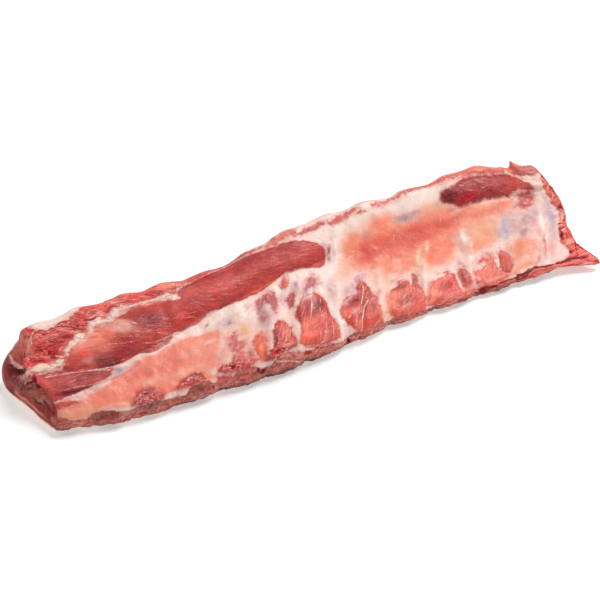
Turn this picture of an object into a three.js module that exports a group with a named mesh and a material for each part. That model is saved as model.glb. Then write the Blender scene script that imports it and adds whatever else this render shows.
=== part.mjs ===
// A raw, bone-in pork loin rib: one long piece of meat lying on its fat side, rib side up.
// Millimetres. X runs from the hip cut to the shoulder cut, Y from the sawn rib ends to the
// sawn backbone, Z up. The origin is under the middle of the piece, on the surface it lies on.
import * as THREE from "three";

// Driving dimensions
const LENGTH = 520; // hip cut to shoulder cut, without the loose tongue
const STATION = 65; // distance between the values of the lists below, from hip to shoulder

// Edges of the section along the length
const FRONT_Y = [-53, -65, -66, -66, -61, -50, -47, -46, -46]; // sawn rib ends
const FRONT_TOP = [22, 22, 25, 32, 30, 20, 16, 15, 17];
const FRONT_FOOT = [5, 4, 4, 4, 4, 4, 4, 5, 10];
const CHINE_Y = [23, 26, 27, 27, 37, 42, 43, 45, 38]; // edge of the split backbone
const CHINE_TOP = [58, 60, 58, 61, 71, 71, 71, 73, 63];
const BELLY_Y = [0, -8, -12, -10, -5, 5, 6, 6, 6]; // lowest line of the fat side
const BACK_FOOT = [27, 25, 25, 25, 26, 27, 27, 27, 27]; // where the sawn bone meets the fat
const HOLLOW = [2, 4, 5, 6, 7, 8, 8, 8, 6]; // dip of the rib side below a straight line
const FRONT_LEAN = 4;
const FRONT_BULGE = 2.5;
const CREST_DROP = 1.5;
const CREST_REACH = 8;
const BACK_REACH = 12;
const SETTLED = 1; // how far the soft underside is pressed flat

// Stretches of the section's outline, counted round it from the top of the rib ends
const INNER = 95; // the rib side
const CREST = 8;
const BACK = 38;
const FAT_BACK = 42;
const FAT_FRONT = 70;
const FRONT = 22; // the sawn rib ends
const ROUND = INNER + CREST + BACK + FAT_BACK + FAT_FRONT + FRONT;
const CORNER = 3.2; // rounding of the section's corners

// Muscles that lie on the rib side, as bands along the length
const TENDERLOIN = {
  centre: [60, 60, 69, 79, 79, 70, 70, 70, 70],
  half: [15, 17, 18, 14.5, 14.5, 13, 13, 13, 13],
  start: 25,
  swell: 70,
  blunt: 258,
  tip: 295,
  height: 7,
};
const FLANK = {
  centre: [31, 35, 40, 40, 40, 40, 40, 40, 40],
  half: [12, 8, 4, 4, 4, 4, 4, 4, 4],
  start: -40,
  swell: 20,
  blunt: 60,
  tip: 92,
  height: 3,
};
const NECK_MUSCLE = {
  centre: [80, 80, 80, 80, 80, 80, 80, 81, 76],
  half: [9, 9, 9, 9, 9, 9, 9, 9.5, 6],
  start: 408,
  swell: 22,
  blunt: 480,
  tip: 514,
  height: 4,
};

// Ribs under the membrane: places on the line 13 mm in from the rib ends
const RIBS = [207, 235, 277, 321, 367, 415, 458, 492];
const RIB_LINE = 13;
const RIB_LEAN = 0.42; // drift along the length for each millimetre across
const RIB_HALF = 7;
const RIB_HEIGHT = 2.4;
const RIB_REACH = 56; // how far in from the rib ends a rib shows

// Meat that bulges between the sawn rib ends
const DOMES = [18, 50, 86, 130, 174, 214, 254, 299, 344, 391, 437, 475];
const DOME_HALF = 19;
const DOME_HEIGHT = 3;

// Split backbone
const VERTEBRA = 41;
const VERTEBRA_START = 12;
const VERTEBRA_SWELL = 1.3;
const CANAL = { at: INNER + CREST + 15, half: 5, depth: 2.2 }; // groove left by the spinal canal

// Cut ends
const HIP_REACH = 100; // how far the slant of a cut is felt along the piece
const SHOULDER_REACH = 80;
const EDGE = 3.5; // rounding between a cut and the sides
const TONGUE = { reach: 23, sag: 5, out: 13, start: 455, centre: -3, spread: 15 };
const CHIP = { at: 501, half: 5.5, height: 5.5, notch: 8 };
const HIP_LIFT = 9; // the underside clears the table here at the hip cut

// Mesh: steps along, and steps on each stretch of the outline
const STEPS_ALONG = 78;
const STEPS_ROUND = [
  [INNER, 20],
  [CREST, 2],
  [BACK, 6],
  [FAT_BACK, 5],
  [FAT_FRONT, 7],
  [FRONT, 6],
];
const CUT_RINGS = 7;

const clamp = THREE.MathUtils.clamp;
const mix = THREE.MathUtils.lerp;

function bell(x, centre, spread) {
  return Math.exp(-(((x - centre) / spread) ** 2));
}

// Smooth value at s, from a list with one value at each station
function along(values, s) {
  const t = clamp(s / STATION, 0, values.length - 1 - 1e-9);
  const i = Math.floor(t);
  const f = t - i;
  const at = (k) => values[clamp(k, 0, values.length - 1)];
  const [a, b, c, d] = [at(i - 1), at(i), at(i + 1), at(i + 2)];
  const curve = (2 * a - 5 * b + 4 * c - d) * f * f + (3 * b - a - 3 * c + d) * f * f * f;
  return 0.5 * (2 * b + (c - a) * f + curve);
}

// Repeatable number from 0 to 1 for a grid point
function hash(i, j, seed) {
  const h = Math.sin(i * 12.9898 + j * 78.233 + seed * 37.719) * 43758.5453;
  return h - Math.floor(h);
}

// Smooth unevenness from -1 to 1, with lumps about one unit wide
function lumps(x, y, seed) {
  const i = Math.floor(x);
  const j = Math.floor(y);
  const ease = (f) => f * f * (3 - 2 * f);
  const fx = ease(x - i);
  const fy = ease(y - j);
  const low = mix(hash(i, j, seed), hash(i + 1, j, seed), fx);
  const high = mix(hash(i, j + 1, seed), hash(i + 1, j + 1, seed), fx);
  return 2 * mix(low, high, fy) - 1;
}

// The section's outline at s, before its corners are rounded
function outline(s, u) {
  const d = ((u % ROUND) + ROUND) % ROUND;
  const frontY = along(FRONT_Y, s);
  const frontTop = along(FRONT_TOP, s);
  const foot = along(FRONT_FOOT, s);
  const chineY = along(CHINE_Y, s);
  const chineTop = along(CHINE_TOP, s);
  const bellyY = along(BELLY_Y, s);
  const backFoot = along(BACK_FOOT, s);
  let rest = d;
  if (rest < INNER) {
    const w = rest / INNER;
    const dip = along(HOLLOW, s) * Math.sin(Math.PI * w) * (0.6 + 0.5 * w);
    return [mix(frontY + FRONT_LEAN, chineY, w), mix(frontTop, chineTop, w) - dip];
  }
  rest -= INNER;
  if (rest < CREST) {
    const w = rest / CREST;
    return [chineY + CREST_REACH * w, chineTop - CREST_DROP * w];
  }
  rest -= CREST;
  if (rest < BACK) {
    const w = rest / BACK;
    return [chineY + mix(CREST_REACH, BACK_REACH, w), mix(chineTop - CREST_DROP, backFoot, w)];
  }
  rest -= BACK;
  if (rest < FAT_BACK) {
    const angle = ((rest / FAT_BACK) * Math.PI) / 2;
    const reach = (chineY + BACK_REACH - bellyY) * Math.cos(angle) ** 0.8;
    return [bellyY + reach, backFoot * (1 - Math.sin(angle) ** 0.9)];
  }
  rest -= FAT_BACK;
  if (rest < FAT_FRONT) {
    const w = rest / FAT_FRONT;
    return [mix(bellyY, frontY, w), foot * w ** 2.2];
  }
  rest -= FAT_FRONT;
  const w = rest / FRONT;
  const bulge = FRONT_BULGE * Math.sin(Math.PI * w);
  return [mix(frontY, frontY + FRONT_LEAN, w) - bulge, mix(foot, frontTop, w)];
}

// The section with rounded corners: a weighted mean over a short stretch of the outline
const BLEND = [
  [-1.6, 0.1],
  [-0.8, 0.22],
  [0, 0.36],
  [0.8, 0.22],
  [1.6, 0.1],
];
function section(s, u) {
  let y = 0;
  let z = 0;
  for (const [offset, weight] of BLEND) {
    const point = outline(s, u + offset * CORNER);
    y += weight * point[0];
    z += weight * point[1];
  }
  return [y, z];
}

// Outward direction of the section at u
function outward(s, u) {
  const [y0, z0] = section(s, u - 1.5);
  const [y1, z1] = section(s, u + 1.5);
  const size = Math.hypot(y1 - y0, z1 - z0);
  return [-(z1 - z0) / size, (y1 - y0) / size];
}

// Height of a muscle band at (s, u)
function band(muscle, s, u) {
  const begin = clamp((s - muscle.start) / muscle.swell, 0, 1);
  const past = clamp((s - muscle.blunt) / (muscle.tip - muscle.blunt), 0, 1);
  const half = along(muscle.half, s) * Math.sqrt(1 - past * past);
  if (half < 0.5) return 0;
  const r = (u - along(muscle.centre, s)) / half;
  return muscle.height * begin * Math.max(0, 1 - r * r) ** 0.6;
}

function ribs(s, u) {
  let height = 0;
  for (const rib of RIBS) {
    const line = rib + RIB_LEAN * (u - RIB_LINE);
    height += bell(s, line, RIB_HALF);
  }
  const fade = clamp((RIB_REACH - u) / 25, 0, 1) * clamp((u + 6) / 8, 0, 1);
  return RIB_HEIGHT * (height - 0.45) * fade * clamp((s - 170) / 40, 0, 1);
}

// Meat bulging on the sawn rib ends; v is counted from their top edge, downwards negative
function domes(s, v) {
  let height = 0;
  for (const dome of DOMES) {
    const r = (s - dome) / DOME_HALF;
    height = Math.max(height, Math.max(0, 1 - r * r) ** 0.5);
  }
  const across = clamp(1 - ((v + 11) / 13) ** 2, 0, 1) ** 0.5;
  return DOME_HEIGHT * (height - 0.4) * across;
}

function backbone(s, u) {
  const r = (s - VERTEBRA_START) / VERTEBRA + 0.12 * lumps(s / 60, 1, 4);
  const across = bell(u, INNER + CREST + 8, 22);
  const swell = VERTEBRA_SWELL * Math.cos(2 * Math.PI * r) * across;
  return swell - CANAL.depth * bell(u, CANAL.at, CANAL.half);
}

function chip(s, u) {
  const spike = Math.max(0, 1 - Math.abs(s - CHIP.at) / CHIP.half);
  const notch = bell(s, CHIP.at - CHIP.notch, 3.5);
  return (CHIP.height * spike - 2.2 * notch) * bell(u, INNER + 6, 6);
}

// All relief on the sides, along the outward direction
function relief(s, u) {
  const d = ((u % ROUND) + ROUND) % ROUND;
  const v = d > ROUND - FRONT - 6 ? d - ROUND : d;
  let height = 0;
  if (v < INNER + 4) {
    height += Math.max(band(TENDERLOIN, s, v), band(FLANK, s, v), band(NECK_MUSCLE, s, v));
    height += ribs(s, v);
    const torn = clamp(1 - s / 75, 0, 1) * bell(v, 76, 18);
    height += 2.2 * torn * lumps(s / 9, v / 7, 3);
  }
  if (v < 2) height += domes(s, v);
  height += backbone(s, d) + chip(s, d);
  const wrapped = Math.sin((2 * Math.PI * d) / ROUND);
  return height + 0.9 * lumps(s / 26, 4 + 3 * wrapped, 1) + 0.5 * lumps(s / 9, d / 12, 2);
}

// Where the hip cut lies along x, over the section
function hipCut(y, z) {
  const slant = 2 - 0.11 * (y + 20);
  const low = mix(0.15, 0.62, clamp((y + 55) / 50, 0, 1));
  const lean = (z > 34 ? 0.3 : low) * (z - 34);
  const nose = -11 * bell(y, -8, 14) * bell(z, 46, 14);
  const step = 7 * bell(y, -46, 24) * bell(z, 28, 16);
  const swell = -4 * bell(y, 26, 16) * bell(z, 24, 14);
  return slant + lean + nose + step + swell;
}

// Where the shoulder cut lies, as an offset from the length
function shoulderCut(y, z) {
  const corner = -6 * clamp((z - 50) / 16, 0, 1.2) ** 2 * clamp((y + 10) / 40, 0, 1.3);
  const foot = -12 * clamp((22 - z) / 18, 0, 1) ** 1.5;
  const full = 9.5 * bell(y, 8, 30) * bell(z, 38, 18) + 4 * bell(y, -22, 9) * bell(z, 20, 8);
  const bite = -5 * bell(y, -26, 8) * bell(z, 33, 10);
  return corner + foot + full + bite;
}

function cutOffset(s, y, z) {
  const hip = clamp(1 - s / HIP_REACH, 0, 1) ** 2;
  const shoulder = clamp(1 - (LENGTH - s) / SHOULDER_REACH, 0, 1) ** 2;
  return hip * hipCut(y, z) + shoulder * shoulderCut(y, z);
}

// How much of the loose tongue there is at (s, u)
function tongue(s, u) {
  const v = ((u + 90) % ROUND) - 90;
  const grow = clamp((s - TONGUE.start) / (LENGTH - TONGUE.start), 0, 1) ** 3;
  return grow * bell(v, TONGUE.centre, TONGUE.spread);
}

// How far the sides draw in where they round over into a cut
function edgeInset(s) {
  const near = Math.min(s, LENGTH - s);
  const t = clamp(1 - near / EDGE, 0, 1);
  return EDGE * (1 - Math.sqrt(1 - t * t)) * 0.6;
}

// A point of the sides
function sidePoint(s, u) {
  const [y0, z0] = section(s, u);
  const [ny, nz] = outward(s, u);
  const height = relief(s, u) - edgeInset(s);
  let y = y0 + height * ny;
  let z = z0 + height * nz;
  z += HIP_LIFT * clamp(1 - s / 55, 0, 1) ** 2 * clamp(1 - z / 32, 0, 1) * bell(y, -14, 30);
  const loose = tongue(s, u);
  const x = s + cutOffset(s, y, z) + TONGUE.reach * loose;
  y -= TONGUE.out * loose;
  z -= TONGUE.sag * loose;
  return new THREE.Vector3(x, y, Math.max(z - SETTLED, 0));
}

// Bulges and hollows of the muscles in a cut face; outward is positive
function cutRelief(end, y, z) {
  const eye = 2.5 * bell(y, -8, 26) * bell(z, 24, 13);
  const loin = 1.5 * bell(y, -42, 12) * bell(z, 16, 8);
  const seam = -2.5 * bell(z, end === "hip" ? 42 : 40, 3.5) * bell(y, 2, 16);
  return eye + loin + seam + 0.8 * lumps(y / 8, z / 7, end === "hip" ? 5 : 6);
}

// Middle of a cut face, where its rings close
function cutMiddle(rim) {
  const middle = new THREE.Vector3();
  for (const point of rim) middle.add(point);
  return middle.divideScalar(rim.length);
}

function stepsAround() {
  const places = [];
  let start = 0;
  for (const [stretch, steps] of STEPS_ROUND) {
    for (let k = 0; k < steps; k++) places.push(start + (stretch * k) / steps);
    start += stretch;
  }
  return places;
}

function stepsAlong() {
  const places = [0, 0.5, 1.5, EDGE];
  const run = LENGTH - 2 * EDGE;
  for (let k = 1; k < STEPS_ALONG; k++) places.push(EDGE + (run * k) / STEPS_ALONG);
  places.push(LENGTH - EDGE, LENGTH - 1.5, LENGTH - 0.5, LENGTH);
  return places;
}

// Rings of a cut face, from just inside its rim to its middle
function cutRings(end, rim) {
  const middle = cutMiddle(rim);
  const sign = end === "hip" ? -1 : 1;
  const cutAt = (y, z) => (end === "hip" ? hipCut(y, z) : LENGTH + shoulderCut(y, z));
  const rings = [];
  for (let k = 1; k <= CUT_RINGS; k++) {
    const t = k / (CUT_RINGS + 1);
    const inside = Math.min(1, 2.4 * t);
    rings.push(
      rim.map((point) => {
        const y = mix(point.y, middle.y, t);
        const z = mix(point.z, middle.z, t);
        const x = cutAt(y, z) + sign * inside * cutRelief(end, y, z);
        return new THREE.Vector3(mix(point.x, x, inside), y, z);
      }),
    );
  }
  const x = cutAt(middle.y, middle.z) + sign * cutRelief(end, middle.y, middle.z);
  return { rings, middle: new THREE.Vector3(x, middle.y, middle.z) };
}

// One closed surface: sides from hip to shoulder, and both cut faces
function loinGeometry() {
  const around = stepsAround();
  const sides = stepsAlong().map((s) => around.map((u) => sidePoint(s, u)));
  const hip = cutRings("hip", sides[0]);
  const shoulder = cutRings("shoulder", sides[sides.length - 1]);
  const rows = [...hip.rings.reverse(), ...sides, ...shoulder.rings];
  const count = around.length;
  const points = [...rows.flat(), hip.middle, shoulder.middle];
  const faces = [];
  for (let r = 0; r + 1 < rows.length; r++) {
    for (let k = 0; k < count; k++) {
      const next = (k + 1) % count;
      const [a, b] = [r * count + k, r * count + next];
      const [c, d] = [a + count, b + count];
      faces.push(a, c, b, b, c, d);
    }
  }
  const last = (rows.length - 1) * count;
  const hipMiddle = points.length - 2;
  const shoulderMiddle = points.length - 1;
  for (let k = 0; k < count; k++) {
    const next = (k + 1) % count;
    faces.push(hipMiddle, k, next);
    faces.push(shoulderMiddle, last + next, last + k);
  }
  const geometry = new THREE.BufferGeometry().setFromPoints(points);
  geometry.setIndex(faces);
  return geometry;
}

// Puts the origin under the middle of the piece
function centred(geometry) {
  geometry.computeBoundingBox();
  const { min, max } = geometry.boundingBox;
  geometry.translate(-(min.x + max.x) / 2, -(min.y + max.y) / 2, -min.z);
  geometry.computeVertexNormals();
  return geometry;
}

const rawMeat = new THREE.MeshStandardMaterial({
  name: "raw pork",
  color: 0xd98478,
  roughness: 0.42,
  metalness: 0,
});

const loin = new THREE.Mesh(centred(loinGeometry()), rawMeat);
loin.name = "loin";

const porkRib = new THREE.Group();
porkRib.name = "pork_rib";
porkRib.add(loin);

export default porkRib;
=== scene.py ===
"""Raw bone-in pork loin rib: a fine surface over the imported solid, with its colours and wet finish."""
import math
import bpy
import numpy as np
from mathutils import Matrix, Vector


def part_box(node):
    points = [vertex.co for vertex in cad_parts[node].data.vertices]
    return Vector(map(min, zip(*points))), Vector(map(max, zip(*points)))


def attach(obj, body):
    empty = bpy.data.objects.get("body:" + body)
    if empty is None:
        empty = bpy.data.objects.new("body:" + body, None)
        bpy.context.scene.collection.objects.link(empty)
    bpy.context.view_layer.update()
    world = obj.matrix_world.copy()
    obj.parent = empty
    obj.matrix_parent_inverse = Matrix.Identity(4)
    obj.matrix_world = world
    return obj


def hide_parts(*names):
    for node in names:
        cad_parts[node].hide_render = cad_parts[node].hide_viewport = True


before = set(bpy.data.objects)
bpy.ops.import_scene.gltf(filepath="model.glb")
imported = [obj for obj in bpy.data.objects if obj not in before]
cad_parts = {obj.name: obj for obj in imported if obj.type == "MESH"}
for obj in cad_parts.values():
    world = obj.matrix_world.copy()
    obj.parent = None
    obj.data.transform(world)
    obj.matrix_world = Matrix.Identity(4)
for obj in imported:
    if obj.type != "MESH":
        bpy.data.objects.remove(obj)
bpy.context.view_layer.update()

# Driving dimensions, millimetres, the same as the solid's
LENGTH = 520
STATION = 65
FRONT_Y = (-53, -65, -66, -66, -61, -50, -47, -46, -46)
FRONT_TOP = (22, 22, 25, 32, 30, 20, 16, 15, 17)
FRONT_FOOT = (5, 4, 4, 4, 4, 4, 4, 5, 10)
CHINE_Y = (23, 26, 27, 27, 37, 42, 43, 45, 38)
CHINE_TOP = (58, 60, 58, 61, 71, 71, 71, 73, 63)
BELLY_Y = (0, -8, -12, -10, -5, 5, 6, 6, 6)
BACK_FOOT = (27, 25, 25, 25, 26, 27, 27, 27, 27)
HOLLOW = (2, 4, 5, 6, 7, 8, 8, 8, 6)
FRONT_LEAN = 4
FRONT_BULGE = 2.5
CREST_DROP = 1.5
CREST_REACH = 8
BACK_REACH = 12
SETTLED = 1

# Stretches round the section, from the top of the rib ends
INNER = 95
CREST = 8
BACK = 38
FAT_BACK = 42
FAT_FRONT = 70
FRONT = 22
ROUND = INNER + CREST + BACK + FAT_BACK + FAT_FRONT + FRONT
CORNER = 3.2

# Fine mesh: columns on each stretch, rows along and their places by the ends, rings in a cut face
COLUMNS = ((INNER, 100), (CREST, 9), (BACK, 16), (FAT_BACK, 12), (FAT_FRONT, 16), (FRONT, 20))
ROWS = 500
EDGE_ROWS = (0, 0.6, 1.8)
CUT_RINGS = 24
MM = 0.001
# Signed distance far outside every outline, and a turn past which fibres run across the ribs
FAR_OUTSIDE = -40
STEEP_TURN = 45
# Third coordinate of the cut ends in the materials' space, away from the sides' own
CUT_LAYER = 200
# Material slots, after the rib side's
SPLIT_SLOT = 1
FAT_SLOT = 2
CUT_SLOT = 3
# Where the split face's meat ends and the fat cover begins, metres round the section
FAT_BORDER = (0.1370, 0.1385)
FLESH_SHINE = 0.25
CUT_SHINE = 0.14
THREAD_STEPS = 9
THREAD_SIDES = 5

# Camera: where the photograph was taken from, and what it looks at, in the section's own count
VIEW_YAW = 24.28
VIEW_ELEVATION = 42
VIEW_DISTANCE = 1900
VIEW_TARGET = (251.64, -10.04, 30)
FOCAL_PIXELS = 2114.7
PICTURE_PIXELS = 600
SENSOR = 36
CLIP_END = 50
# Table, sky and lamp, metres
FLOOR_HALF = 6
FLOOR_GLOW = 0.30
SKY_STRENGTH = 0.37
LAMP_PLACE = (1.0, 0.2, 1.9)
LAMP_AIM = (0, 0, 0.03)
LAMP_SIZE = (1.2, 1.0)
LAMP_POWER = 37

# Muscles that lie on the rib side
TENDERLOIN = dict(
    centre=(60, 60, 69, 79, 79, 70, 70, 70, 70), half=(15, 17, 18, 14.5, 14.5, 13, 13, 13, 13),
    start=25, swell=70, blunt=258, tip=295, height=7,
)
FLANK = dict(
    centre=(31, 35, 40, 40, 40, 40, 40, 40, 40), half=(12, 8, 4, 4, 4, 4, 4, 4, 4),
    start=-40, swell=20, blunt=60, tip=92, height=3,
)
NECK_MUSCLE = dict(
    centre=(80, 80, 80, 80, 80, 80, 80, 81, 76), half=(9, 9, 9, 9, 9, 9, 9, 9.5, 6),
    start=408, swell=22, blunt=480, tip=514, height=4,
)

RIBS = (207, 235, 277, 321, 367, 415, 458, 492)
RIB_LINE = 13
RIB_LEAN = 0.42
RIB_HALF = 7
RIB_HEIGHT = 2.4
RIB_REACH = 56
DOMES = (18, 50, 86, 130, 174, 214, 254, 299, 344, 391, 437, 475)
DOME_HALF = 19
DOME_HEIGHT = 3
VERTEBRA = 41
VERTEBRA_START = 12
VERTEBRA_SWELL = 1.3
CANAL = dict(at=INNER + CREST + 15, half=5, depth=2.2)
HIP_REACH = 100
SHOULDER_REACH = 80
EDGE = 3.5
TONGUE = dict(reach=23, sag=5, out=13, start=455, centre=-3, spread=15)
CHIP = dict(at=501, half=5.5, height=5.5, notch=8)
HIP_LIFT = 9


def clamp(x, low=0.0, high=1.0):
    return np.clip(x, low, high)


def mix(a, b, t):
    return a + (b - a) * t


def bell(x, centre, spread):
    return np.exp(-(((x - centre) / spread) ** 2))


def smooth(low, high, x):
    t = clamp((x - low) / (high - low))
    return t * t * (3 - 2 * t)


def along(values, s):
    """Smooth value at s, from a list with one value at each station."""
    v = np.asarray(values, float)
    t = np.clip(s / STATION, 0, len(v) - 1 - 1e-9)
    i = np.floor(t).astype(int)
    f = t - i
    a, b, c, d = (v[np.clip(i + k, 0, len(v) - 1)] for k in (-1, 0, 1, 2))
    curve = (2 * a - 5 * b + 4 * c - d) * f * f + (3 * b - a - 3 * c + d) * f * f * f
    return 0.5 * (2 * b + (c - a) * f + curve)


def hashed(i, j, seed):
    h = np.sin(i * 12.9898 + j * 78.233 + seed * 37.719) * 43758.5453
    return h - np.floor(h)


def lumps(x, y, seed):
    """Smooth unevenness from -1 to 1, with lumps about one unit wide."""
    x, y = np.broadcast_arrays(np.asarray(x, float), np.asarray(y, float))
    i, j = np.floor(x), np.floor(y)
    fx, fy = x - i, y - j
    fx, fy = fx * fx * (3 - 2 * fx), fy * fy * (3 - 2 * fy)
    low = mix(hashed(i, j, seed), hashed(i + 1, j, seed), fx)
    high = mix(hashed(i, j + 1, seed), hashed(i + 1, j + 1, seed), fx)
    return 2 * mix(low, high, fy) - 1


def outline(s, u):
    """The section's outline before its corners are rounded."""
    d = np.mod(u, ROUND)
    front_y, front_top, foot = along(FRONT_Y, s), along(FRONT_TOP, s), along(FRONT_FOOT, s)
    chine_y, chine_top = along(CHINE_Y, s), along(CHINE_TOP, s)
    belly_y, back_foot = along(BELLY_Y, s), along(BACK_FOOT, s)
    ends = np.cumsum([INNER, CREST, BACK, FAT_BACK, FAT_FRONT])
    w = clamp(d / INNER)
    dip = along(HOLLOW, s) * np.sin(np.pi * w) * (0.6 + 0.5 * w)
    inner = mix(front_y + FRONT_LEAN, chine_y, w), mix(front_top, chine_top, w) - dip
    w = clamp((d - ends[0]) / CREST)
    crest = chine_y + CREST_REACH * w, chine_top - CREST_DROP * w
    w = clamp((d - ends[1]) / BACK)
    back = chine_y + mix(CREST_REACH, BACK_REACH, w), mix(chine_top - CREST_DROP, back_foot, w)
    angle = clamp((d - ends[2]) / FAT_BACK) * np.pi / 2
    reach = (chine_y + BACK_REACH - belly_y) * np.maximum(np.cos(angle), 0) ** 0.8
    low = belly_y + reach, back_foot * (1 - np.sin(angle) ** 0.9)
    w = clamp((d - ends[3]) / FAT_FRONT)
    under = mix(belly_y, front_y, w), foot * w ** 2.2
    w = clamp((d - ends[4]) / FRONT)
    bulge = FRONT_BULGE * np.sin(np.pi * w)
    front = mix(front_y, front_y + FRONT_LEAN, w) - bulge, mix(foot, front_top, w)
    which = [d < end for end in ends]
    y = np.select(which, [inner[0], crest[0], back[0], low[0], under[0]], front[0])
    z = np.select(which, [inner[1], crest[1], back[1], low[1], under[1]], front[1])
    return y, z


def section(s, u):
    y = z = 0
    for offset, weight in ((-1.6, 0.1), (-0.8, 0.22), (0, 0.36), (0.8, 0.22), (1.6, 0.1)):
        a, b = outline(s, u + offset * CORNER)
        y, z = y + weight * a, z + weight * b
    return y, z


def outward(s, u):
    y0, z0 = section(s, u - 1.5)
    y1, z1 = section(s, u + 1.5)
    size = np.hypot(y1 - y0, z1 - z0) + 1e-9
    return -(z1 - z0) / size, (y1 - y0) / size


def band_half(muscle, s):
    past = clamp((s - muscle["blunt"]) / (muscle["tip"] - muscle["blunt"]))
    return along(muscle["half"], s) * np.sqrt(1 - past * past)


def band(muscle, s, u):
    """Height of a muscle band at (s, u)."""
    begin = clamp((s - muscle["start"]) / muscle["swell"])
    half = band_half(muscle, s)
    r = (u - along(muscle["centre"], s)) / np.maximum(half, 0.5)
    return np.where(half < 0.5, 0, muscle["height"] * begin * np.maximum(0, 1 - r * r) ** 0.6)


def ribs(s, u):
    height = 0
    for rib in RIBS:
        height = height + bell(s, rib + RIB_LEAN * (u - RIB_LINE), RIB_HALF)
    fade = clamp((RIB_REACH - u) / 25) * clamp((u + 6) / 8)
    return RIB_HEIGHT * (height - 0.45) * fade * clamp((s - 170) / 40)


def domes(s, v):
    height = 0
    for dome in DOMES:
        r = (s - dome) / DOME_HALF
        height = np.maximum(height, np.maximum(0, 1 - r * r) ** 0.5)
    across = clamp(1 - ((v + 11) / 13) ** 2) ** 0.5
    return DOME_HEIGHT * (height - 0.4) * across


def backbone(s, u):
    r = (s - VERTEBRA_START) / VERTEBRA + 0.12 * lumps(s / 60, 1, 4)
    across = bell(u, INNER + CREST + 8, 22)
    swell = VERTEBRA_SWELL * np.cos(2 * np.pi * r) * across
    return swell - CANAL["depth"] * bell(u, CANAL["at"], CANAL["half"])


def chip(s, u):
    spike = np.maximum(0, 1 - np.abs(s - CHIP["at"]) / CHIP["half"])
    notch = bell(s, CHIP["at"] - CHIP["notch"], 3.5)
    return (CHIP["height"] * spike - 2.2 * notch) * bell(u, INNER + 6, 6)


def front_count(u):
    """u counted so that the sawn rib ends are negative, below their top edge."""
    d = np.mod(u, ROUND)
    return np.where(d > ROUND - FRONT - 6, d - ROUND, d)


def relief(s, u):
    d = np.mod(u, ROUND)
    v = front_count(u)
    muscle = np.maximum(np.maximum(band(TENDERLOIN, s, v), band(FLANK, s, v)), band(NECK_MUSCLE, s, v))
    torn = clamp(1 - s / 75) * bell(v, 76, 18)
    side = muscle + ribs(s, v) + 2.2 * torn * lumps(s / 9, v / 7, 3)
    height = np.where(v < INNER + 4, side, 0) + np.where(v < 2, domes(s, v), 0)
    height = height + backbone(s, d) + chip(s, d)
    wrapped = np.sin(2 * np.pi * d / ROUND)
    return height + 0.9 * lumps(s / 26, 4 + 3 * wrapped, 1) + 0.5 * lumps(s / 9, d / 12, 2)


def hip_cut(y, z):
    slant = 2 - 0.11 * (y + 20)
    low = mix(0.15, 0.62, clamp((y + 55) / 50))
    lean = np.where(z > 34, 0.3, low) * (z - 34)
    nose = -11 * bell(y, -8, 14) * bell(z, 46, 14)
    step = 7 * bell(y, -46, 24) * bell(z, 28, 16)
    swell = -4 * bell(y, 26, 16) * bell(z, 24, 14)
    return slant + lean + nose + step + swell


def shoulder_cut(y, z):
    corner = -6 * clamp((z - 50) / 16, 0, 1.2) ** 2 * clamp((y + 10) / 40, 0, 1.3)
    foot = -12 * clamp((22 - z) / 18) ** 1.5
    full = 9.5 * bell(y, 8, 30) * bell(z, 38, 18) + 4 * bell(y, -22, 9) * bell(z, 20, 8)
    bite = -5 * bell(y, -26, 8) * bell(z, 33, 10)
    return corner + foot + full + bite


def cut_offset(s, y, z):
    hip = clamp(1 - s / HIP_REACH) ** 2
    shoulder = clamp(1 - (LENGTH - s) / SHOULDER_REACH) ** 2
    return hip * hip_cut(y, z) + shoulder * shoulder_cut(y, z)


def tongue(s, u):
    v = np.mod(u + 90, ROUND) - 90
    grow = clamp((s - TONGUE["start"]) / (LENGTH - TONGUE["start"])) ** 3
    return grow * bell(v, TONGUE["centre"], TONGUE["spread"])


def edge_inset(s):
    t = clamp(1 - np.minimum(s, LENGTH - s) / EDGE)
    return EDGE * (1 - np.sqrt(1 - t * t)) * 0.6


def side_point(s, u, extra):
    y0, z0 = section(s, u)
    ny, nz = outward(s, u)
    height = relief(s, u) + extra - edge_inset(s)
    y, z = y0 + height * ny, z0 + height * nz
    z = z + HIP_LIFT * clamp(1 - s / 55) ** 2 * clamp(1 - z / 32) * bell(y, -14, 30)
    loose = tongue(s, u)
    x = s + cut_offset(s, y, z) + TONGUE["reach"] * loose
    z = np.maximum(z - TONGUE["sag"] * loose - SETTLED, 0)
    return np.stack([x, y - TONGUE["out"] * loose, z], -1)


# Colours, named for what they are: red, green and blue from 0 to 255
CREAM = (248, 210, 198)
LIGHT_CREAM = (253, 231, 218)
YELLOW_CREAM = (250, 216, 186)
PALE_PINK = (246, 204, 198)
WHITE_FAT = (254, 236, 228)
PEACH = (248, 184, 160)
SALMON = (248, 142, 120)
ORANGE = (240, 122, 92)
CORAL = (224, 92, 84)
RED_BLUSH = (210, 72, 66)
PINK = (236, 160, 154)
LILAC = (212, 170, 174)
MAUVE = (168, 104, 116)
GREY_BROWN = (196, 156, 142)
ROSE_MEAT = (206, 104, 100)
MEAT = (200, 78, 76)
RED_MEAT = (196, 50, 50)
DARK_MEAT = (164, 52, 60)
DEEP_MEAT = (118, 12, 24)
PURPLE_MEAT = (122, 52, 66)
BROWN_MEAT = (156, 92, 88)
BROWN_DARK = (112, 48, 46)
# Near-black red of clots, also painted deep in hollows and creases as shade
CLOT_AND_HOLLOW_SHADE = (104, 4, 14)
CRIMSON = (176, 14, 28)
# Pale marbling, also painted as highlight flecks on wet muscle
MARBLE_AND_GLINT = (244, 190, 178)
CUT_FAT = (222, 146, 130)

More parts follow.
